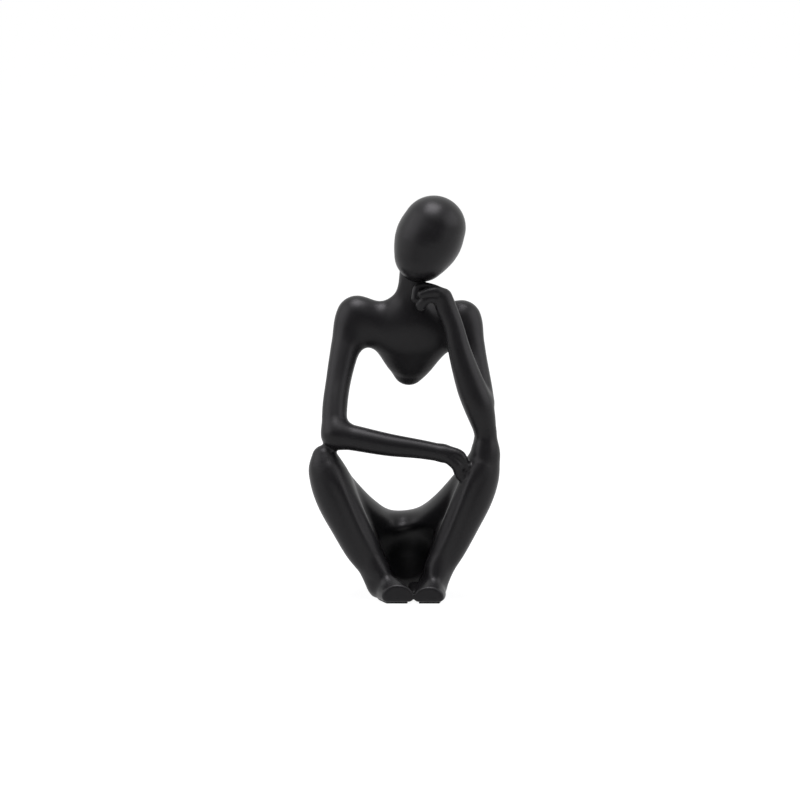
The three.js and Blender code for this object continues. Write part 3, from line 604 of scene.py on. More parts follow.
def hem(slimmer, *shift):
    """One of the two thin rolls of the rim, moved aside from the middle of the rim."""
    return limb(PLACES["right_rim_end"] + shift, PLACES["left_rim_end"] + shift, [
        (0, RIM_RADIUS - slimmer - 0.3),
        (0.16, RIM_RADIUS - slimmer, 0, 3.0, -5.2),
        (0.32, RIM_RADIUS - slimmer, 0, 6.0, -9.4),
        (0.5, RIM_RADIUS - slimmer, 0, 7.5, -11.5),
        (0.69, RIM_RADIUS - slimmer, 0, 6.5, -8.5),
        (0.86, RIM_RADIUS - slimmer, 0, 3.5, -4.5),
        (1, RIM_RADIUS - slimmer - 0.3),
    ])


rim = flow(HEM_GROOVE, hem(1.1, 0, 0.2, 1.1), hem(0.9, 0, -0.9, -1.5))
hollow = limb("hollow_foot", "hollow_top", [(0, HOLLOW_RADIUS - 1.0), (1, HOLLOW_RADIUS)])
hips = flow(RIM_SOFTNESS, pressed(HOLLOW_EDGE, seat, hollow), rim)
print("the hollow and its rim are drawn")

# %% [markdown]
# ## Joining the limbs
# The parts meet with small fillets, because a casting has no knife-sharp corners inside. A low web
# closes the slit between the feet, and a cone on the left knee fills the groove under the elbow's
# waist. Each fillet has its own softness: an armpit is wide, and a knuckle is a mere line.

# %% Joining the limbs
RIGHT_ARMPIT, LEFT_ARMPIT = 6.0, 5.0
RIGHT_ELBOW_FILLET, LEFT_ELBOW_FILLET = 2.5, 1.2
RIGHT_WRIST_FILLET, LEFT_WRIST_FILLET = 1.0, 0.4
KNEE_TOP_FILLET, FEET_FILLET, HIP_FILLET = 2.0, 0.8, 1.2
CHIN_FILLET, CONTACT_FILLET = 0.6, 1.5
WEB_RADIUS, WEB_HEIGHT, WEB_FRONT_Y, WEB_BACK_Y = 1.0, 2.4, -20.0, -6.0
KNEE_TOP_RISE = (0.15, -0.2, 5.6)

upper = flow(RIGHT_ARMPIT, trunk, right_upper_arm)
upper = flow(RIGHT_WRIST_FILLET, flow(RIGHT_ELBOW_FILLET, upper, right_forearm), right_hand)
upper = flow(LEFT_ELBOW_FILLET, flow(LEFT_ARMPIT, upper, left_upper_arm), left_forearm)
upper = flow(LEFT_WRIST_FILLET, upper, left_fist)
web = limb(np.array([feet_middle, WEB_FRONT_Y, WEB_HEIGHT]),
           np.array([feet_middle, WEB_BACK_Y, WEB_HEIGHT]),
           [(0, WEB_RADIUS), (1, WEB_RADIUS + 0.8)])
knee_top = limb("left_knee", PLACES["left_knee"] + KNEE_TOP_RISE, [
    (0, KNEE_RADIUS),
    (0.5, ELBOW_WAIST_RADIUS + 0.6),
    (1, ELBOW_WAIST_RADIUS),
])
left_leg = flow(KNEE_TOP_FILLET, left_lower_leg, knee_top)
lower = flow(HIP_FILLET, flow(FEET_FILLET, right_lower_leg, left_leg, web), hips)
body = flow(CONTACT_FILLET, flow(CHIN_FILLET, upper, head), lower)
print("the body is one distance function")

# %% [markdown]
# ## Flat soles and toe faces
# The soles and the toe ends of the real figure are sanded flat, and the edge round each is softened
# by the paint. Everything past a plane is a form like any other, so it can be pressed in too.

# %% Flat soles and toe faces
SOLE_LIFT = 0.02
SOLE_EDGE, TOE_EDGE = 0.8, 0.9
SOLE_Z = PAD_TOP + SOLE_LIFT

body = pressed(SOLE_EDGE, body, beyond((0, 0, SOLE_Z), (0, 0, -1)))
body = pressed(TOE_EDGE, body, beyond((0, TOE_FACE_Y, 0), (0, -1, 0)))
print("the soles are flat at", round(SOLE_Z, 2), "mm and the toes at", TOE_FACE_Y, "mm")

# %% [markdown]
# ## Measuring many points
# Finding the skin takes millions of distances. They are asked for in parcels, small enough to stay
# in the processor's own memory, and a few helpers work on them side by side.

# %% Measuring many points
PARCEL = 12000
HELPERS = 4


def measured(form, points):
    """A form's answer for many points, which are dealt out in parcels to a few helpers."""
    parcels = np.array_split(points.astype(np.float32), len(points) // PARCEL + 1)
    with ThreadPoolExecutor(HELPERS) as helpers:
        answers = list(helpers.map(form, parcels))
    if isinstance(answers[0], tuple):
        return tuple(np.concatenate(column) for column in zip(*answers))
    return np.concatenate(answers)


print("points are measured in parcels of", PARCEL)

# %% [markdown]
# ## A grid that is fine only near the skin
# The skin is where the distance is nought. A full grid of the whole box would be mostly empty air,
# so it is looked at coarsely first, and a finer level looks only where the skin may be.

# %% A grid that is fine only near the skin
# CELL and the skin are in millimetres. The blended distances are at most STEEPEST times too steep.
CELL = 0.38
COARSE = (6, 2)
STEEPEST = 1.15
FAR = 1e3


def values_near_the_skin(distance, low, size):
    """Distances at the corners of a grid, exact near the skin and only of the right sign elsewhere.
    Corners are taken six apart, then two apart, then one apart, and a finer level looks only
    where the level before says that the skin is within reach."""
    value = np.full(size, FAR)
    mask = np.ones(size, bool)
    for step in (*COARSE, 1):
        level = tuple(slice(None, None, step) for _ in range(3))
        index = np.argwhere(mask[level]) * step
        d, _ = measured(distance, low + index * CELL)
        value[tuple(index.T)] = d
        if step == 1:
            break
        full = value[level]
        for axis in range(3):
            full = full.repeat(step, axis)
        full = np.pad(full, [(0, max(0, s - f)) for s, f in zip(size, full.shape)], mode="edge")
        full = full[tuple(slice(0, s) for s in size)]
        value = np.where(abs(full) < FAR, full, value)
        mask = abs(full) < STEEPEST * CELL * math.sqrt(3) * step
    return value


print("the grid's finest step is", CELL, "mm")

# %% [markdown]
# ## A net over the grid
# Every small cube that the skin passes through gets one point, and neighbouring cubes are joined by
# faces. Blender's own remesh modifier works much like this, but from a mesh, and here there is none
# yet. A lathe or a swept tube has two parameters; a body that branches needs these three.

# %% A net over the grid
def skin(distance, low, high):
    """Points and triangles of the surface where the distance is nought. A cube's point is the mean
    of the crossings on its twelve edges; each grid edge that the skin crosses gives a four-sided
    face between the points of the four cubes round it, cut into two triangles."""
    size = tuple(np.ceil((high - low) / CELL).astype(int) + 1)
    value = values_near_the_skin(distance, low, size)
    inside = value < 0
    corners = [(i, j, k) for i in (0, 1) for j in (0, 1) for k in (0, 1)]
    blocks = [tuple(slice(o, s - 1 + o) for o, s in zip(c, size)) for c in corners]
    count = sum(inside[block].astype(np.int8) for block in blocks)
    cells = np.argwhere((count > 0) & (count < 8))
    number = np.full([s - 1 for s in size], -1)
    number[tuple(cells.T)] = np.arange(len(cells))
    total, hits = np.zeros((len(cells), 3)), np.zeros((len(cells), 1))
    for a in corners:
        for axis in range(3):
            if a[axis]:
                continue
            b = tuple(v + (m == axis) for m, v in enumerate(a))
            va, vb = value[tuple((cells + a).T)], value[tuple((cells + b).T)]
            cross = ((va < 0) != (vb < 0))[:, None]
            share = (va / np.where(va == vb, 1, va - vb))[:, None]
            total += np.where(cross, np.array(a) + share * np.eye(3)[axis], 0)
            hits += cross
    points = low + CELL * (cells + total / hits)
    faces = []
    for axis in range(3):
        u, v = [m for m in range(3) if m != axis]
        step = np.eye(3, dtype=int)
        near = tuple(slice(0, s - 1) if m == axis else slice(1, s - 1) for m, s in enumerate(size))
        far = tuple(slice(1, s) if m == axis else slice(1, s - 1) for m, s in enumerate(size))
        change = np.argwhere(inside[near] != inside[far]) + step[u] + step[v]
        ring = [change - step[u] - step[v], change - step[v], change, change - step[u]]
        quad = np.stack([number[tuple(c.T)] for c in ring], 1)
        outward = inside[tuple(change.T)] == (axis != 1)
        quad[~outward] = quad[~outward][:, ::-1]
        faces.append(quad)
    quads = np.vstack(faces)
    return points, np.vstack([quads[:, [0, 1, 2]], quads[:, [0, 2, 3]]])


print("a skin is points and triangles")

# %% [markdown]
# ## Points set back onto the skin
# The net's points lie a little off the true surface and crowd in places, which would show as
# ripples in the gloss. A smoothing modifier would shrink the limbs. So the points are drawn towards
# their neighbours and set back onto the skin, a few times over.

# %% Points set back onto the skin
EVEN_ROUNDS = 4
FLATTEST = 0.25


def onto_skin(distance, points, rounds):
    """Each point moved down the slope of the distance by the distance itself, a few times over."""
    for _ in range(rounds):
        d, slope = measured(distance, points)
        steep = np.maximum((slope ** 2).sum(1), FLATTEST)
        points = points - slope * (d / steep)[:, None]
    return points


def evened(distance, points, triangles, rounds):
    """Points drawn halfway to the mean of their neighbours and set back onto the skin."""
    ends = np.vstack([triangles[:, [0, 1]], triangles[:, [1, 2]], triangles[:, [2, 0]]])
    degree = np.bincount(ends[:, 0], minlength=len(points))[:, None]
    for _ in range(rounds):
        middle = np.stack([np.bincount(ends[:, 0], points[ends[:, 1], m], len(points))
                           for m in range(3)], 1) / degree
        points = onto_skin(distance, (points + middle) / 2, 1)
    return onto_skin(distance, points, 2)


MARGIN = 3 * CELL
low = np.array(cad_low) / MM - OFFSET - MARGIN
high = np.array(cad_high) / MM - OFFSET + MARGIN
points, triangles = skin(body, low, high)
points = evened(body, points, triangles, EVEN_ROUNDS)
print("the skin has", len(points), "points and", len(triangles), "triangles")

# %% [markdown]
# ## Seams
# The real figure was most likely one pour of resin. Parted for moulding, its shoulders would be
# sawn square to the arms, its lower legs parted from the thighs on slanted planes, and its feet
# parted side by side. A seam is a plane, so one number per point says on which side it lies.

# %% Seams
RIGHT_SHOULDER_SEAM_SHARE, LEFT_SHOULDER_SEAM_SHARE, ELBOW_WAIST_SHARE = 0.32, 0.4, 0.1
LEG_SEAM_Y, LEG_SEAM_SLOPE, LEG_SEAM_SPREAD = -0.85, 0.3, 0.3


def seam_across(one_limb, share):
    """The signed distance past a plane that is square to a limb at a share of its wire."""
    row = one_limb.points
    at = share * (len(row) - 1)
    k = int(at)
    direction = row[k + 1, :3] - row[k, :3]
    direction = direction / np.linalg.norm(direction)
    place = mix(row[k, :3], row[k + 1, :3], at - k)
    return lambda p: (p - place) @ direction


def leg_seam(side):
    """The signed distance behind the slanted plane between a lower leg and its thigh."""
    direction = np.array([-side * LEG_SEAM_SPREAD, 1, LEG_SEAM_SLOPE])
    direction = direction / np.linalg.norm(direction)
    return lambda p: (p - (feet_middle, LEG_SEAM_Y, 0)) @ direction


right_shoulder_seam = seam_across(right_upper_arm, RIGHT_SHOULDER_SEAM_SHARE)
left_shoulder_seam = seam_across(left_upper_arm, LEFT_SHOULDER_SEAM_SHARE)
elbow_waist = seam_across(left_forearm, ELBOW_WAIST_SHARE)
print("five seams are laid")

# %% [markdown]
# ## Which casting a point belongs to
# The head, the elbow and the hand end where they touch what carries them, and no plane can say
# that. So a point goes to the limb that it lies nearest to, and the seams only part those limbs
# that two castings share.

# %% Which casting a point belongs to
CASTINGS = ["head", "torso", "right_arm", "left_arm", "hips_and_thighs",
            "right_lower_leg", "left_lower_leg"]
LIMBS = {"head": head, "trunk": trunk, "right_upper_arm": right_upper_arm,
         "right_forearm": right_forearm, "right_hand": right_hand, "left_upper_arm": left_upper_arm,
         "left_forearm": left_forearm, "left_fist": left_fist, "lower": lower}


def casting_of(p):
    """The number of the casting that each point belongs to, by the nearest limb and the seams."""
    nearest = np.array(list(LIMBS))[np.argmin([form(p)[0] for form in LIMBS.values()], axis=0)]
    part = np.full(len(p), CASTINGS.index("torso"))
    part[nearest == "head"] = CASTINGS.index("head")
    right = np.isin(nearest, ["right_forearm", "right_hand"])
    right |= (nearest == "right_upper_arm") & (right_shoulder_seam(p) > 0)
    part[right] = CASTINGS.index("right_arm")
    left = np.isin(nearest, ["left_forearm", "left_fist"])
    left |= (nearest == "left_upper_arm") & (left_shoulder_seam(p) > 0)
    part[left] = CASTINGS.index("left_arm")
    below = (nearest == "lower") | ((nearest == "left_forearm") & (elbow_waist(p) < 0))
    part[below] = CASTINGS.index("hips_and_thighs")
    on_right = p[:, 0] < feet_middle
    part[below & on_right & (leg_seam(-1)(p) < 0)] = CASTINGS.index("right_lower_leg")
    part[below & ~on_right & (leg_seam(1)(p) < 0)] = CASTINGS.index("left_lower_leg")
    return part


part = measured(casting_of, points)
print("points in each casting:", dict(zip(CASTINGS, np.bincount(part, minlength=len(CASTINGS)))))

# %% [markdown]
# ## Points moved onto the seams
# A border that ran zigzag along the triangles would show when a piece is lifted off. So each edge
# that crosses a seam has its nearer end moved to where the seam crosses it, and the triangles then
# fall cleanly to one side or the other.

# %% Moving points onto the seams
HALVINGS = 7
SEAM_ROUNDS = 2

on_seam = np.zeros(len(points), bool)
for _ in range(SEAM_ROUNDS):
    part = measured(casting_of, points)
    ends = np.sort(np.vstack([triangles[:, [0, 1]], triangles[:, [1, 2]], triangles[:, [2, 0]]]), 1)
    ends = np.unique(ends, axis=0)
    ends = ends[(part[ends[:, 0]] != part[ends[:, 1]]) & ~on_seam[ends].any(1)]
    low_t, high_t = np.zeros(len(ends)), np.ones(len(ends))
    a, b = points[ends[:, 0]], points[ends[:, 1]]
    for _ in range(HALVINGS):
        t = (low_t + high_t) / 2
        same = measured(casting_of, a + (b - a) * t[:, None]) == part[ends[:, 0]]
        low_t, high_t = np.where(same, t, low_t), np.where(same, high_t, t)
    t = (low_t + high_t) / 2
    nearer = np.where(t < 0.5, ends[:, 0], ends[:, 1])
    crossing = a + (b - a) * t[:, None]
    order = np.argsort(-np.minimum(t, 1 - t))
    points[nearer[order]] = onto_skin(body, crossing[order], 1)
    on_seam[nearer] = True
print(on_seam.sum(), "points lie on the seams")

# %% [markdown]
# ## Which casting a triangle belongs to
# A triangle's points off the seams all lie on one side, and that side's casting owns it. The few
# triangles whose points don't agree are given away by their own middle. The slopes of the distance
# are kept as normals, so that light runs over the seams without a trace.

# %% Which casting a triangle belongs to
points_slope = measured(body, points)[1]
normals = points_slope / np.linalg.norm(points_slope, axis=1)[:, None]
votes = np.where(on_seam[triangles], -1, part[triangles])
owner = votes.max(1)
lost = (owner < 0) | ((votes >= 0) & (votes != owner[:, None])).any(1)
owner[lost] = measured(casting_of, points[triangles[lost]].mean(1))
print(lost.sum(), "of", len(triangles), "triangles went by their middle")

# %% [markdown]
# ## Lids
# Each casting is the triangles that it owns, and it is open where it was parted. A lid over every
# seam makes it a closed body that could be printed. Blender can fill a hole, but the order of its
# triangles isn't promised, so each lid is a plain fan. The lids lie inside the figure.

# %% Lids
def lids(faces, spots):
    """Triangles that close the open borders: a fan from the middle of each loop to its edges. A
    loop is found by giving joined points the least number among them, over and over."""
    edges = np.vstack([faces[:, [0, 1]], faces[:, [1, 2]], faces[:, [2, 0]]])
    key = edges[:, 0] * len(spots) + edges[:, 1]
    back = edges[:, 1] * len(spots) + edges[:, 0]
    open_edges = edges[~np.isin(key, back)]
    name = np.arange(len(spots))
    while True:
        least = np.minimum(name[open_edges[:, 0]], name[open_edges[:, 1]])
        fresh = name.copy()
        np.minimum.at(fresh, open_edges[:, 0], least)
        np.minimum.at(fresh, open_edges[:, 1], least)
        if (fresh == name).all():
            break
        name = fresh
    loop = name[open_edges[:, 0]]
    loops = np.unique(loop)
    middle = np.array([spots[open_edges[loop == n].ravel()].mean(0) for n in loops])
    hub = len(spots) + np.searchsorted(loops, loop)
    return middle.reshape(-1, 3), np.column_stack([open_edges[:, 1], open_edges[:, 0], hub])


print("a lid is a fan over one open border")

# %% [markdown]
# ## Making meshes
# The arrays become a Blender mesh through foreach_set, which takes a whole array at once. The
# object stays at the origin, unturned and unscaled, because its place is in its points.

# %% Making meshes
def mesh_object(name, spots, faces, corner_normals=None):
    """A mesh object at the origin, from points in the body's own millimetres and triangles."""
    mesh = bpy.data.meshes.new(name)
    mesh.vertices.add(len(spots))
    mesh.vertices.foreach_set("co", ((spots + OFFSET) * MM).ravel())
    mesh.loops.add(faces.size)
    mesh.loops.foreach_set("vertex_index", faces.astype(np.int32).ravel())
    mesh.polygons.add(len(faces))
    starts = np.arange(0, faces.size, faces.shape[1], dtype=np.int32)
    mesh.polygons.foreach_set("loop_start", starts)
    mesh.polygons.foreach_set("use_smooth", np.ones(len(faces), bool))
    mesh.update(calc_edges=True)
    mesh.validate()
    if corner_normals is not None:
        mesh.normals_split_custom_set(corner_normals.reshape(-1, 3).tolist())
    piece = bpy.data.objects.new(name, mesh)
    bpy.context.collection.objects.link(piece)
    return piece


print("meshes are made in metres, at the origin")

# %% [markdown]
# ## The seven skins
# Every casting of the real figure becomes one mesh with its lids. The seams can leave a crumb of a
# few triangles on the wrong side, so only the largest joined group of each casting is kept.

# %% The seven skins
NO_AREA = 1e-12


def biggest(faces):
    """The faces of the largest joined group, so that no crumb of a seam is kept."""
    name = np.arange(faces.max() + 1)
    while True:
        least = name[faces].min(1)
        fresh = name.copy()
        np.minimum.at(fresh, faces.ravel(), least.repeat(3))
        fresh = fresh[fresh]
        if (fresh == name).all():
            break
        name = fresh
    group = name[faces[:, 0]]
    return faces[group == np.bincount(group).argmax()]


skins = {}
for number, casting in enumerate(CASTINGS):
    faces = biggest(triangles[owner == number])
    used, faces = np.unique(faces, return_inverse=True)
    faces = faces.reshape(-1, 3)
    hubs, fan = lids(faces, points[used])
    spots = np.vstack([points[used], hubs])
    corner_normals = normals[used][faces]
    flat = np.cross(spots[fan[:, 1]] - spots[fan[:, 0]], spots[fan[:, 2]] - spots[fan[:, 0]])
    flat = flat / (np.linalg.norm(flat, axis=1)[:, None] + NO_AREA)
    corner_normals = np.vstack([corner_normals, flat[:, None].repeat(3, 1)])
    skins[casting] = mesh_object(casting + "_skin", spots, np.vstack([faces, fan]), corner_normals)
    print(casting, len(faces), "triangles,", len(hubs), "lids")

# %% [markdown]
# ## Felt pads
# Under the soles and the seat lie thin felt pads. A flattened cylinder could stand for one, but a
# pad follows the outline of its sole and its cut edge bulges a little. So it is a loaf: one
# parameter runs round the outline, and the other from the middle of the bottom over the edge to the
# middle of the top.

# %% A pad over an outline
PAD_ROUND, PAD_EDGE = 96, 9
PAD_RINGS = [0.35, 0.7]
PAD_HALF_WIDTH = 6
FUZZ = 0.02
rng = np.random.default_rng(7)


def pad(name, outline):
    """A closed loaf over an outline: the ring at share s of the way in from the edge is the outline
    drawn towards its middle, and the edge itself is a half circle of half the pad's thickness."""
    gaps = np.linalg.norm(np.roll(outline, -1, 0) - outline, axis=1)
    run = np.concatenate([[0], np.cumsum(gaps)])
    ring = np.linspace(0, run[-1], PAD_ROUND, endpoint=False)
    closed = np.vstack([outline, outline[:1]])
    rim_line = np.stack([np.interp(ring, run, closed[:, m]) for m in (0, 1)], 1)
    middle = rim_line.mean(0)
    angle = np.linspace(-np.pi / 2, np.pi / 2, PAD_EDGE)
    bulge = PAD_TOP / 2
    edge = 1 - bulge * (1 - np.cos(angle)) / PAD_HALF_WIDTH
    drawn = np.concatenate([PAD_RINGS, edge, PAD_RINGS[::-1]])
    height = np.concatenate([[0, 0], bulge + bulge * np.sin(angle), [PAD_TOP, PAD_TOP]])
    rings = middle + drawn[:, None, None] * (rim_line - middle)
    spots = np.dstack([rings, np.broadcast_to(height[:, None], rings.shape[:2])])
    spots[2:-2, :, :2] += rng.normal(0, FUZZ, (*spots[2:-2].shape[:2], 2))
    rows, cols = len(spots), PAD_ROUND
    i, j = np.meshgrid(np.arange(rows - 1), np.arange(cols), indexing="ij")
    k = (j + 1) % cols
    quad = np.stack([i * cols + j, i * cols + k, (i + 1) * cols + k, (i + 1) * cols + j], -1)
    quad = quad.reshape(-1, 4)
    spots = np.vstack([spots.reshape(-1, 3), [*middle, 0], [*middle, PAD_TOP]])
    turn = np.arange(cols)
    bottom = np.stack([np.full(cols, rows * cols), (turn + 1) % cols, turn], 1)
    top = np.stack([np.full(cols, rows * cols + 1), (rows - 1) * cols + turn,
                    (rows - 1) * cols + (turn + 1) % cols], 1)
    faces = np.vstack([quad[:, [0, 1, 2]], quad[:, [0, 2, 3]], bottom, top])
    return mesh_object(name, spots, faces)


print("a pad has", PAD_ROUND, "points round its edge")

# %% [markdown]
# ## Three pads
# The outline of a foot's pad is the flat of its sole, drawn in a little so that no felt shows from
# above. The seat's is the round patch where the seat is cut. Both come from the limbs themselves,
# so a wider foot gets a wider pad.

# %% Three pads
PAD_INSET = 1.0
SEAT_PAD_POINTS = 64
SEAT_PAD_SPREAD = 0.4


def sole_outline(foot, heel):
    """The flat of a sole, drawn in by the inset: the foot's wire, widened by the half width
    that the foot has where the sole cuts it. It runs counter-clockwise."""
    row = foot.points
    keep = (row[:, 1] > TOE_FACE_Y + PAD_INSET) & (row[:, 1] < heel[1] + HEEL_RADIUS - HEEL_ROUND)
    row = row[keep]
    cut = PAD_TOP + SEAM_GAP
    lift = (row[:, 2] - cut) / foot.squash[2]
    half = foot.squash[0] * np.sqrt(np.maximum(row[:, 3] ** 2 - lift ** 2, 0)) - PAD_INSET
    row, half = row[half > PAD_INSET], half[half > PAD_INSET]
    left = np.column_stack([row[:, 0] - half, row[:, 1]])
    right = np.column_stack([row[:, 0] + half, row[:, 1]])
    return np.vstack([left, right[::-1]])


lift = (PLACES["seat"][2] - PAD_TOP - SEAM_GAP) / SEAT_HEIGHT
flat_radius = math.sqrt(SEAT_RADIUS ** 2 - lift ** 2)
turn = np.linspace(0, 2 * np.pi, SEAT_PAD_POINTS, endpoint=False)
seat_outline = PLACES["seat"][:2] + np.column_stack([
    (flat_radius + SEAT_HALF_WIDTH * SEAT_PAD_SPREAD - PAD_INSET) * np.cos(turn),
    (flat_radius * SEAT_DEPTH - PAD_INSET) * np.sin(turn)])
pads = {
    "seat_pad": pad("seat_felt", seat_outline),
    "right_foot_pad": pad("right_foot_felt", sole_outline(right_foot, PLACES["right_heel"])),
    "left_foot_pad": pad("left_foot_felt", sole_outline(left_foot, PLACES["left_heel"])),
}
print("three felt pads are made")

# %% [markdown]
# ## Shader helpers
# Materials here are built from nodes in code, and two small helpers keep that readable: one adds a
# named socket to a group, and one adds a node with its settings and input values.

# %% Shader helpers
def group_socket(tree, name, way, kind, value=None):
    """A named input or output of a node group, with a starting value where one is given."""
    socket = tree.interface.new_socket(name=name, in_out=way, socket_type=kind)
    if value is not None:
        socket.default_value = value


def add_node(tree, kind, **settings):
    """A node with some of its properties and input values set."""
    node = tree.nodes.new(kind)
    for key, value in settings.items():
        if hasattr(node, key):
            setattr(node, key, value)
        else:
            node.inputs[key.replace("_", " ")].default_value = value
    return node


print("shader helpers are ready")

# %% [markdown]
# ## Grain
# Satin black isn't one grey. The paint has a fine orange-peel ripple, its gloss and its depth drift
# a little from place to place, and fine specks of dust are caught in it. A picture could be wrapped
# round the figure instead, but noise in the object's own space has no seams. One group makes the
# ripple, the drift and the specks, so that every material can have its own amount.

# %% Grain
SPECK_START, SPECK_FULL = 0.68, 0.78


def surface_grain():
    """The group: a fine ripple as a height, and a slow drift and fine specks between 0 and 1."""
    tree = bpy.data.node_groups.new("surface_grain", "ShaderNodeTree")
    group_socket(tree, "Ripple Scale", "INPUT", "NodeSocketFloat", 900.0)
    group_socket(tree, "Drift Scale", "INPUT", "NodeSocketFloat", 60.0)
    group_socket(tree, "Speck Scale", "INPUT", "NodeSocketFloat", 2500.0)
    for name in ("Height", "Drift", "Specks"):
        group_socket(tree, name, "OUTPUT", "NodeSocketFloat")
    start = tree.nodes.new("NodeGroupInput")
    end = tree.nodes.new("NodeGroupOutput")
    place = tree.nodes.new("ShaderNodeTexCoord").outputs["Object"]
    ripple = add_node(tree, "ShaderNodeTexNoise", Detail=2.0, Roughness=0.45)
    drift = add_node(tree, "ShaderNodeTexNoise", Detail=3.0, Roughness=0.6)
    speck = add_node(tree, "ShaderNodeTexNoise", Detail=1.0, Roughness=0.5)
    shape = add_node(tree, "ShaderNodeMapRange", clamp=True, From_Min=SPECK_START,
                     From_Max=SPECK_FULL)
    for node, scale in ((ripple, "Ripple Scale"), (drift, "Drift Scale"), (speck, "Speck Scale")):
        tree.links.new(place, node.inputs["Vector"])
        tree.links.new(start.outputs[scale], node.inputs["Scale"])
    tree.links.new(speck.outputs["Fac"], shape.inputs["Value"])
    tree.links.new(ripple.outputs["Fac"], end.inputs["Height"])
    tree.links.new(drift.outputs["Fac"], end.inputs["Drift"])
    tree.links.new(shape.outputs["Result"], end.inputs["Specks"])
    return tree


GRAIN = surface_grain()
print("one shared grain group is built")

# %% [markdown]
# ## Finishes
# There are three finishes: the satin paint, the black felt and the drawn steel of the hidden pins.
# All three are the same recipe in other amounts, so one function mixes them. Values that are the
# same all over a surface are set on the shader itself, because an export reads them only there.

# %% A finish
DRIFT_LOW, DRIFT_HIGH = 0.3, 0.7


def finish(name, dark, pale, speckled, gloss, ripple, scales, **plain):
    """A material: dark to pale colour with the drift, specks of a third colour, roughness between
    two values with the drift, and the ripple as a bump of a given depth in metres."""
    material = bpy.data.materials.new(name)
    material.use_nodes = True
    tree = material.node_tree
    shader = tree.nodes["Principled BSDF"]
    for key, value in plain.items():
        shader.inputs[key.replace("_", " ")].default_value = value
    grain = add_node(tree, "ShaderNodeGroup", node_tree=GRAIN)
    for key, value in zip(("Ripple Scale", "Drift Scale", "Speck Scale"), scales):
        grain.inputs[key].default_value = value
    colour = add_node(tree, "ShaderNodeMix", data_type="RGBA")
    colour.inputs["A"].default_value = (*dark, 1)
    colour.inputs["B"].default_value = (*pale, 1)
    tree.links.new(grain.outputs["Drift"], colour.inputs["Factor"])
    specks = add_node(tree, "ShaderNodeMix", data_type="RGBA")
    specks.inputs["B"].default_value = (*speckled, 1)
    tree.links.new(grain.outputs["Specks"], specks.inputs["Factor"])
    tree.links.new(colour.outputs["Result"], specks.inputs["A"])
    tree.links.new(specks.outputs["Result"], shader.inputs["Base Color"])
    rough = add_node(tree, "ShaderNodeMapRange", clamp=True, From_Min=DRIFT_LOW,
                     From_Max=DRIFT_HIGH, To_Min=gloss[0], To_Max=gloss[1])
    tree.links.new(grain.outputs["Drift"], rough.inputs["Value"])
    tree.links.new(rough.outputs["Result"], shader.inputs["Roughness"])
    bump = add_node(tree, "ShaderNodeBump", Strength=1.0, Distance=ripple)
    tree.links.new(grain.outputs["Height"], bump.inputs["Height"])
    tree.links.new(bump.outputs["Normal"], shader.inputs["Normal"])
    return material


print("a finish is ready to be mixed")

# %% [markdown]
# ## Paint, felt and steel
# The paint mirrors little: its specular level is well under the usual half, as in a paint with a
# flatting agent. The felt is rough and has a soft sheen from its loose fibres. The pins are bare
# metal, and only someone who takes the figure apart will see them.

# %% Paint, felt and steel
satin_black = finish("satin_black_paint", dark=(0.0050, 0.0048, 0.0053),
                     pale=(0.0070, 0.0067, 0.0074), speckled=(0.011, 0.011, 0.0115),
                     gloss=(0.35, 0.41), ripple=0.000012, scales=(900.0, 60.0, 2600.0),
                     Specular_IOR_Level=0.19)
black_felt = finish("black_felt", dark=(0.004, 0.004, 0.004), pale=(0.012, 0.012, 0.012),
                    speckled=(0.03, 0.03, 0.03), gloss=(0.9, 1.0), ripple=0.0002,
                    scales=(2600.0, 300.0, 1800.0), Sheen_Weight=0.4, Sheen_Roughness=0.5)
drawn_steel = finish("drawn_steel", dark=(0.42, 0.42, 0.43), pale=(0.55, 0.55, 0.56),
                     speckled=(0.3, 0.29, 0.28), gloss=(0.28, 0.4), ripple=0.00002,
                     scales=(3000.0, 200.0, 2500.0), Metallic=1.0)
print("three finishes are mixed")

# %% [markdown]
# ## Dressing the pieces
# Each skin and each pad takes its finish, hides the solid of the frame that it stands for, and
# rides on the figure's one body. The pins are the frame's own solids: their shape is right, so they
# only get a better material.

# %% Dressing the pieces
for casting, piece in skins.items():
    piece.data.materials.append(satin_black)
    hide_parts(casting)
    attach(piece, "root")
for node, piece in pads.items():
    piece.data.materials.append(black_felt)
    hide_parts(node)
    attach(piece, "root")
for name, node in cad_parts.items():
    if name.endswith("_pin"):
        node.data.materials.clear()
        node.data.materials.append(drawn_steel)
print("every piece has its finish and rides on the figure")

# %% [markdown]
# ## Ground and room
# The picture has a white ground and a white background. More light would give that, but it would
# wash out the black as well. So the ground and the room are white only for rays that look at them
# straight or in a mirror, and the ground keeps a share of plain matt white that shows the shadow.

# %% Ground and room
GROUND_HALF = 8.0
GROUND_GREY = 0.9
SHADOW_SHARE = 0.2
ROOM_LEVEL = 1.0
ROOM_GLOW = 0.35
GROUND_GLOW = (1 - SHADOW_SHARE * GROUND_GREY * ROOM_GLOW) / (1 - SHADOW_SHARE)


def seen_straight(tree):
    """A factor that is 1 for rays from the camera and for mirrored and bent rays, else 0."""
    path = tree.nodes.new("ShaderNodeLightPath")
    first = add_node(tree, "ShaderNodeMath", operation="MAXIMUM")
    both = add_node(tree, "ShaderNodeMath", operation="MAXIMUM")
    tree.links.new(path.outputs["Is Camera Ray"], first.inputs[0])
    tree.links.new(path.outputs["Is Glossy Ray"], first.inputs[1])
    tree.links.new(first.outputs[0], both.inputs[0])
    tree.links.new(path.outputs["Is Transmission Ray"], both.inputs[1])
    return both.outputs[0]


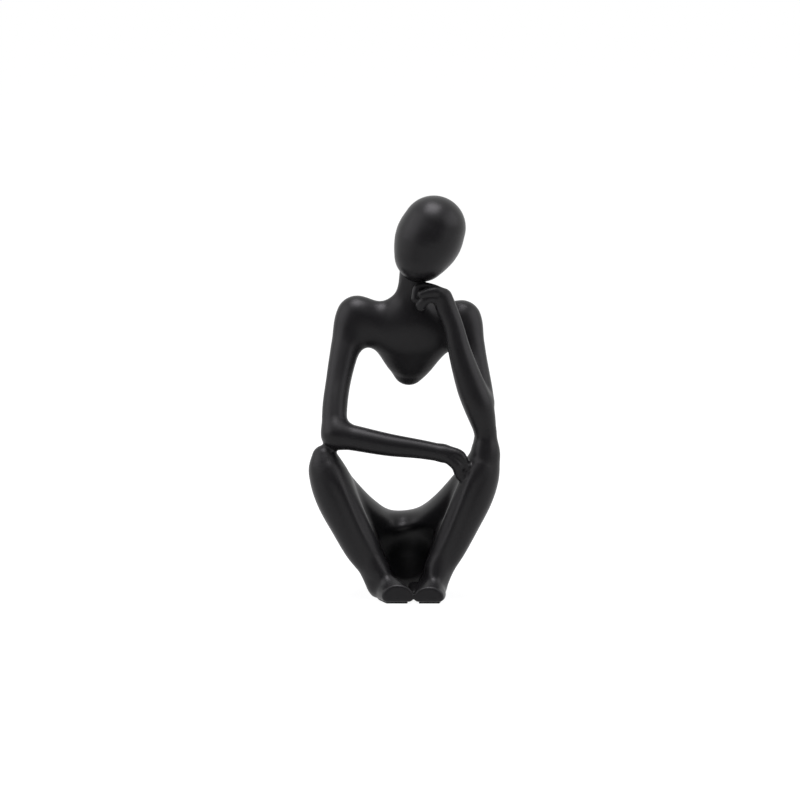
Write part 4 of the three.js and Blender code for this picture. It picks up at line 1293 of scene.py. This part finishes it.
def plain_quad(name, corners):
    """A flat four-cornered mesh object."""
    mesh = bpy.data.meshes.new(name)
    mesh.from_pydata(corners, [], [(0, 1, 2, 3)])
    quad = bpy.data.objects.new(name, mesh)
    bpy.context.collection.objects.link(quad)
    return quad


g = GROUND_HALF
ground = plain_quad("ground", [(-g, -g, 0), (g, -g, 0), (g, g, 0), (-g, g, 0)])
white_ground = bpy.data.materials.new("white_ground")
white_ground.use_nodes = True
tree = white_ground.node_tree
tree.nodes.clear()
matt = add_node(tree, "ShaderNodeBsdfDiffuse")
matt.inputs["Color"].default_value = (GROUND_GREY, GROUND_GREY, GROUND_GREY, 1)
glow = add_node(tree, "ShaderNodeEmission", Strength=GROUND_GLOW)
blend = tree.nodes.new("ShaderNodeMixShader")
seen = add_node(tree, "ShaderNodeMath", operation="MULTIPLY")
seen.inputs[1].default_value = 1 - SHADOW_SHARE
tree.links.new(seen_straight(tree), seen.inputs[0])
tree.links.new(seen.outputs[0], blend.inputs[0])
tree.links.new(matt.outputs[0], blend.inputs[1])
tree.links.new(glow.outputs[0], blend.inputs[2])
tree.links.new(blend.outputs[0], tree.nodes.new("ShaderNodeOutputMaterial").inputs["Surface"])
ground.data.materials.append(white_ground)

room = bpy.data.worlds.new("white_room")
bpy.context.scene.world = room
room.use_nodes = True
backdrop = room.node_tree.nodes["Background"]
backdrop.inputs["Color"].default_value = (1, 1, 1, 1)
level = add_node(room.node_tree, "ShaderNodeMapRange", To_Min=ROOM_GLOW, To_Max=ROOM_LEVEL)
room.node_tree.links.new(seen_straight(room.node_tree), level.inputs["Value"])
room.node_tree.links.new(level.outputs["Result"], backdrop.inputs["Strength"])
print("the ground and the room are white")

# %% [markdown]
# ## Dark card
# A black figure is drawn by what it mirrors. The room in front of it would turn its whole front
# grey, so a dark card stands there, as photographers do it. The camera doesn't see the card.

# %% Dark card
CARD_LEVEL, CARD_ROUGHNESS = 0.12, 0.9
CARD_AWAY, CARD_HALF, CARD_FOOT, CARD_TOP = 0.6, 0.6, 0.002, 0.58

card = plain_quad("front_card", [
    (-CARD_HALF, -CARD_AWAY, CARD_FOOT), (CARD_HALF, -CARD_AWAY, CARD_FOOT),
    (CARD_HALF, -CARD_AWAY, CARD_TOP), (-CARD_HALF, -CARD_AWAY, CARD_TOP)])
card.visible_camera = False
card_paint = bpy.data.materials.new("card_black")
card_paint.use_nodes = True
shader = card_paint.node_tree.nodes["Principled BSDF"]
shader.inputs["Base Color"].default_value = (CARD_LEVEL, CARD_LEVEL, CARD_LEVEL, 1)
shader.inputs["Roughness"].default_value = CARD_ROUGHNESS
card.data.materials.append(card_paint)
print("a dark card stands", CARD_AWAY, "m in front of the figure")

# %% [markdown]
# ## Soft lights
# A broad light overhead gives the pale crown, knees and forearm. Two dim ones, far out to the left
# and the right, draw the flanks and the ridges of the shins. Sharp small lamps would leave hot dots
# on so smooth a paint, which the photograph doesn't have.

# %% Soft lights
LIGHT_TINT = (0.98, 0.95, 1.0)
LIGHT_AIM = Vector((0.0, 0.0, 0.06))
LIGHTS = {
    "overhead": ((-0.05, -0.1, 1.0), (0.6, 0.6), 11.3),
    "left": ((-0.75, -0.15, 0.48), (0.8, 0.6), 2.7),
    "right": ((0.75, -0.15, 0.48), (0.8, 0.6), 2.7),
}


def soft_light(name, place, size, power):
    """A rectangular area light that looks from its place at the middle of the figure."""
    data = bpy.data.lights.new(name, "AREA")
    data.shape = "RECTANGLE"
    data.size, data.size_y = size
    data.energy = power
    data.color = LIGHT_TINT
    light = bpy.data.objects.new(name, data)
    bpy.context.collection.objects.link(light)
    light.location = place
    light.rotation_euler = (LIGHT_AIM - Vector(place)).to_track_quat("-Z", "Y").to_euler()


for name, light in LIGHTS.items():
    soft_light(name, *light)
print("the studio has", len(LIGHTS), "soft lights")

# %% [markdown]
# ## Camera
# The photograph was taken from far away with a long lens, a little above the figure's middle. The
# frame is square, and the figure takes up half of its height. The lens follows from the distance
# and from how much of the scene the frame is to hold.

# %% Camera
CAMERA_AWAY = 1.8
CAMERA_RISE = math.radians(6)
FRAME_ACROSS = 0.2384
AIM = Vector((-0.00124, 0.0, 0.0583))
SENSOR = 36.0
CLIP_END = 50.0

eye = bpy.data.cameras.new("camera")
eye.sensor_width = SENSOR
eye.lens = SENSOR * CAMERA_AWAY / FRAME_ACROSS
eye.clip_end = CLIP_END
camera = bpy.data.objects.new("camera", eye)
bpy.context.collection.objects.link(camera)
camera.location = AIM + CAMERA_AWAY * Vector((0, -math.cos(CAMERA_RISE), math.sin(CAMERA_RISE)))
camera.rotation_euler = (AIM - camera.location).to_track_quat("-Z", "Y").to_euler()
bpy.context.scene.camera = camera
bpy.context.scene.view_settings.view_transform = "Standard"
print("the lens is", round(eye.lens, 1), "mm")

# %% [markdown]
# ## Sizes and the end
# The box of the fixed frame is printed in millimetres at the end of the script.

# %% Sizes and the end
print("CAD box", [round(v / MM, 2) for v in (*cad_low, *cad_high)])
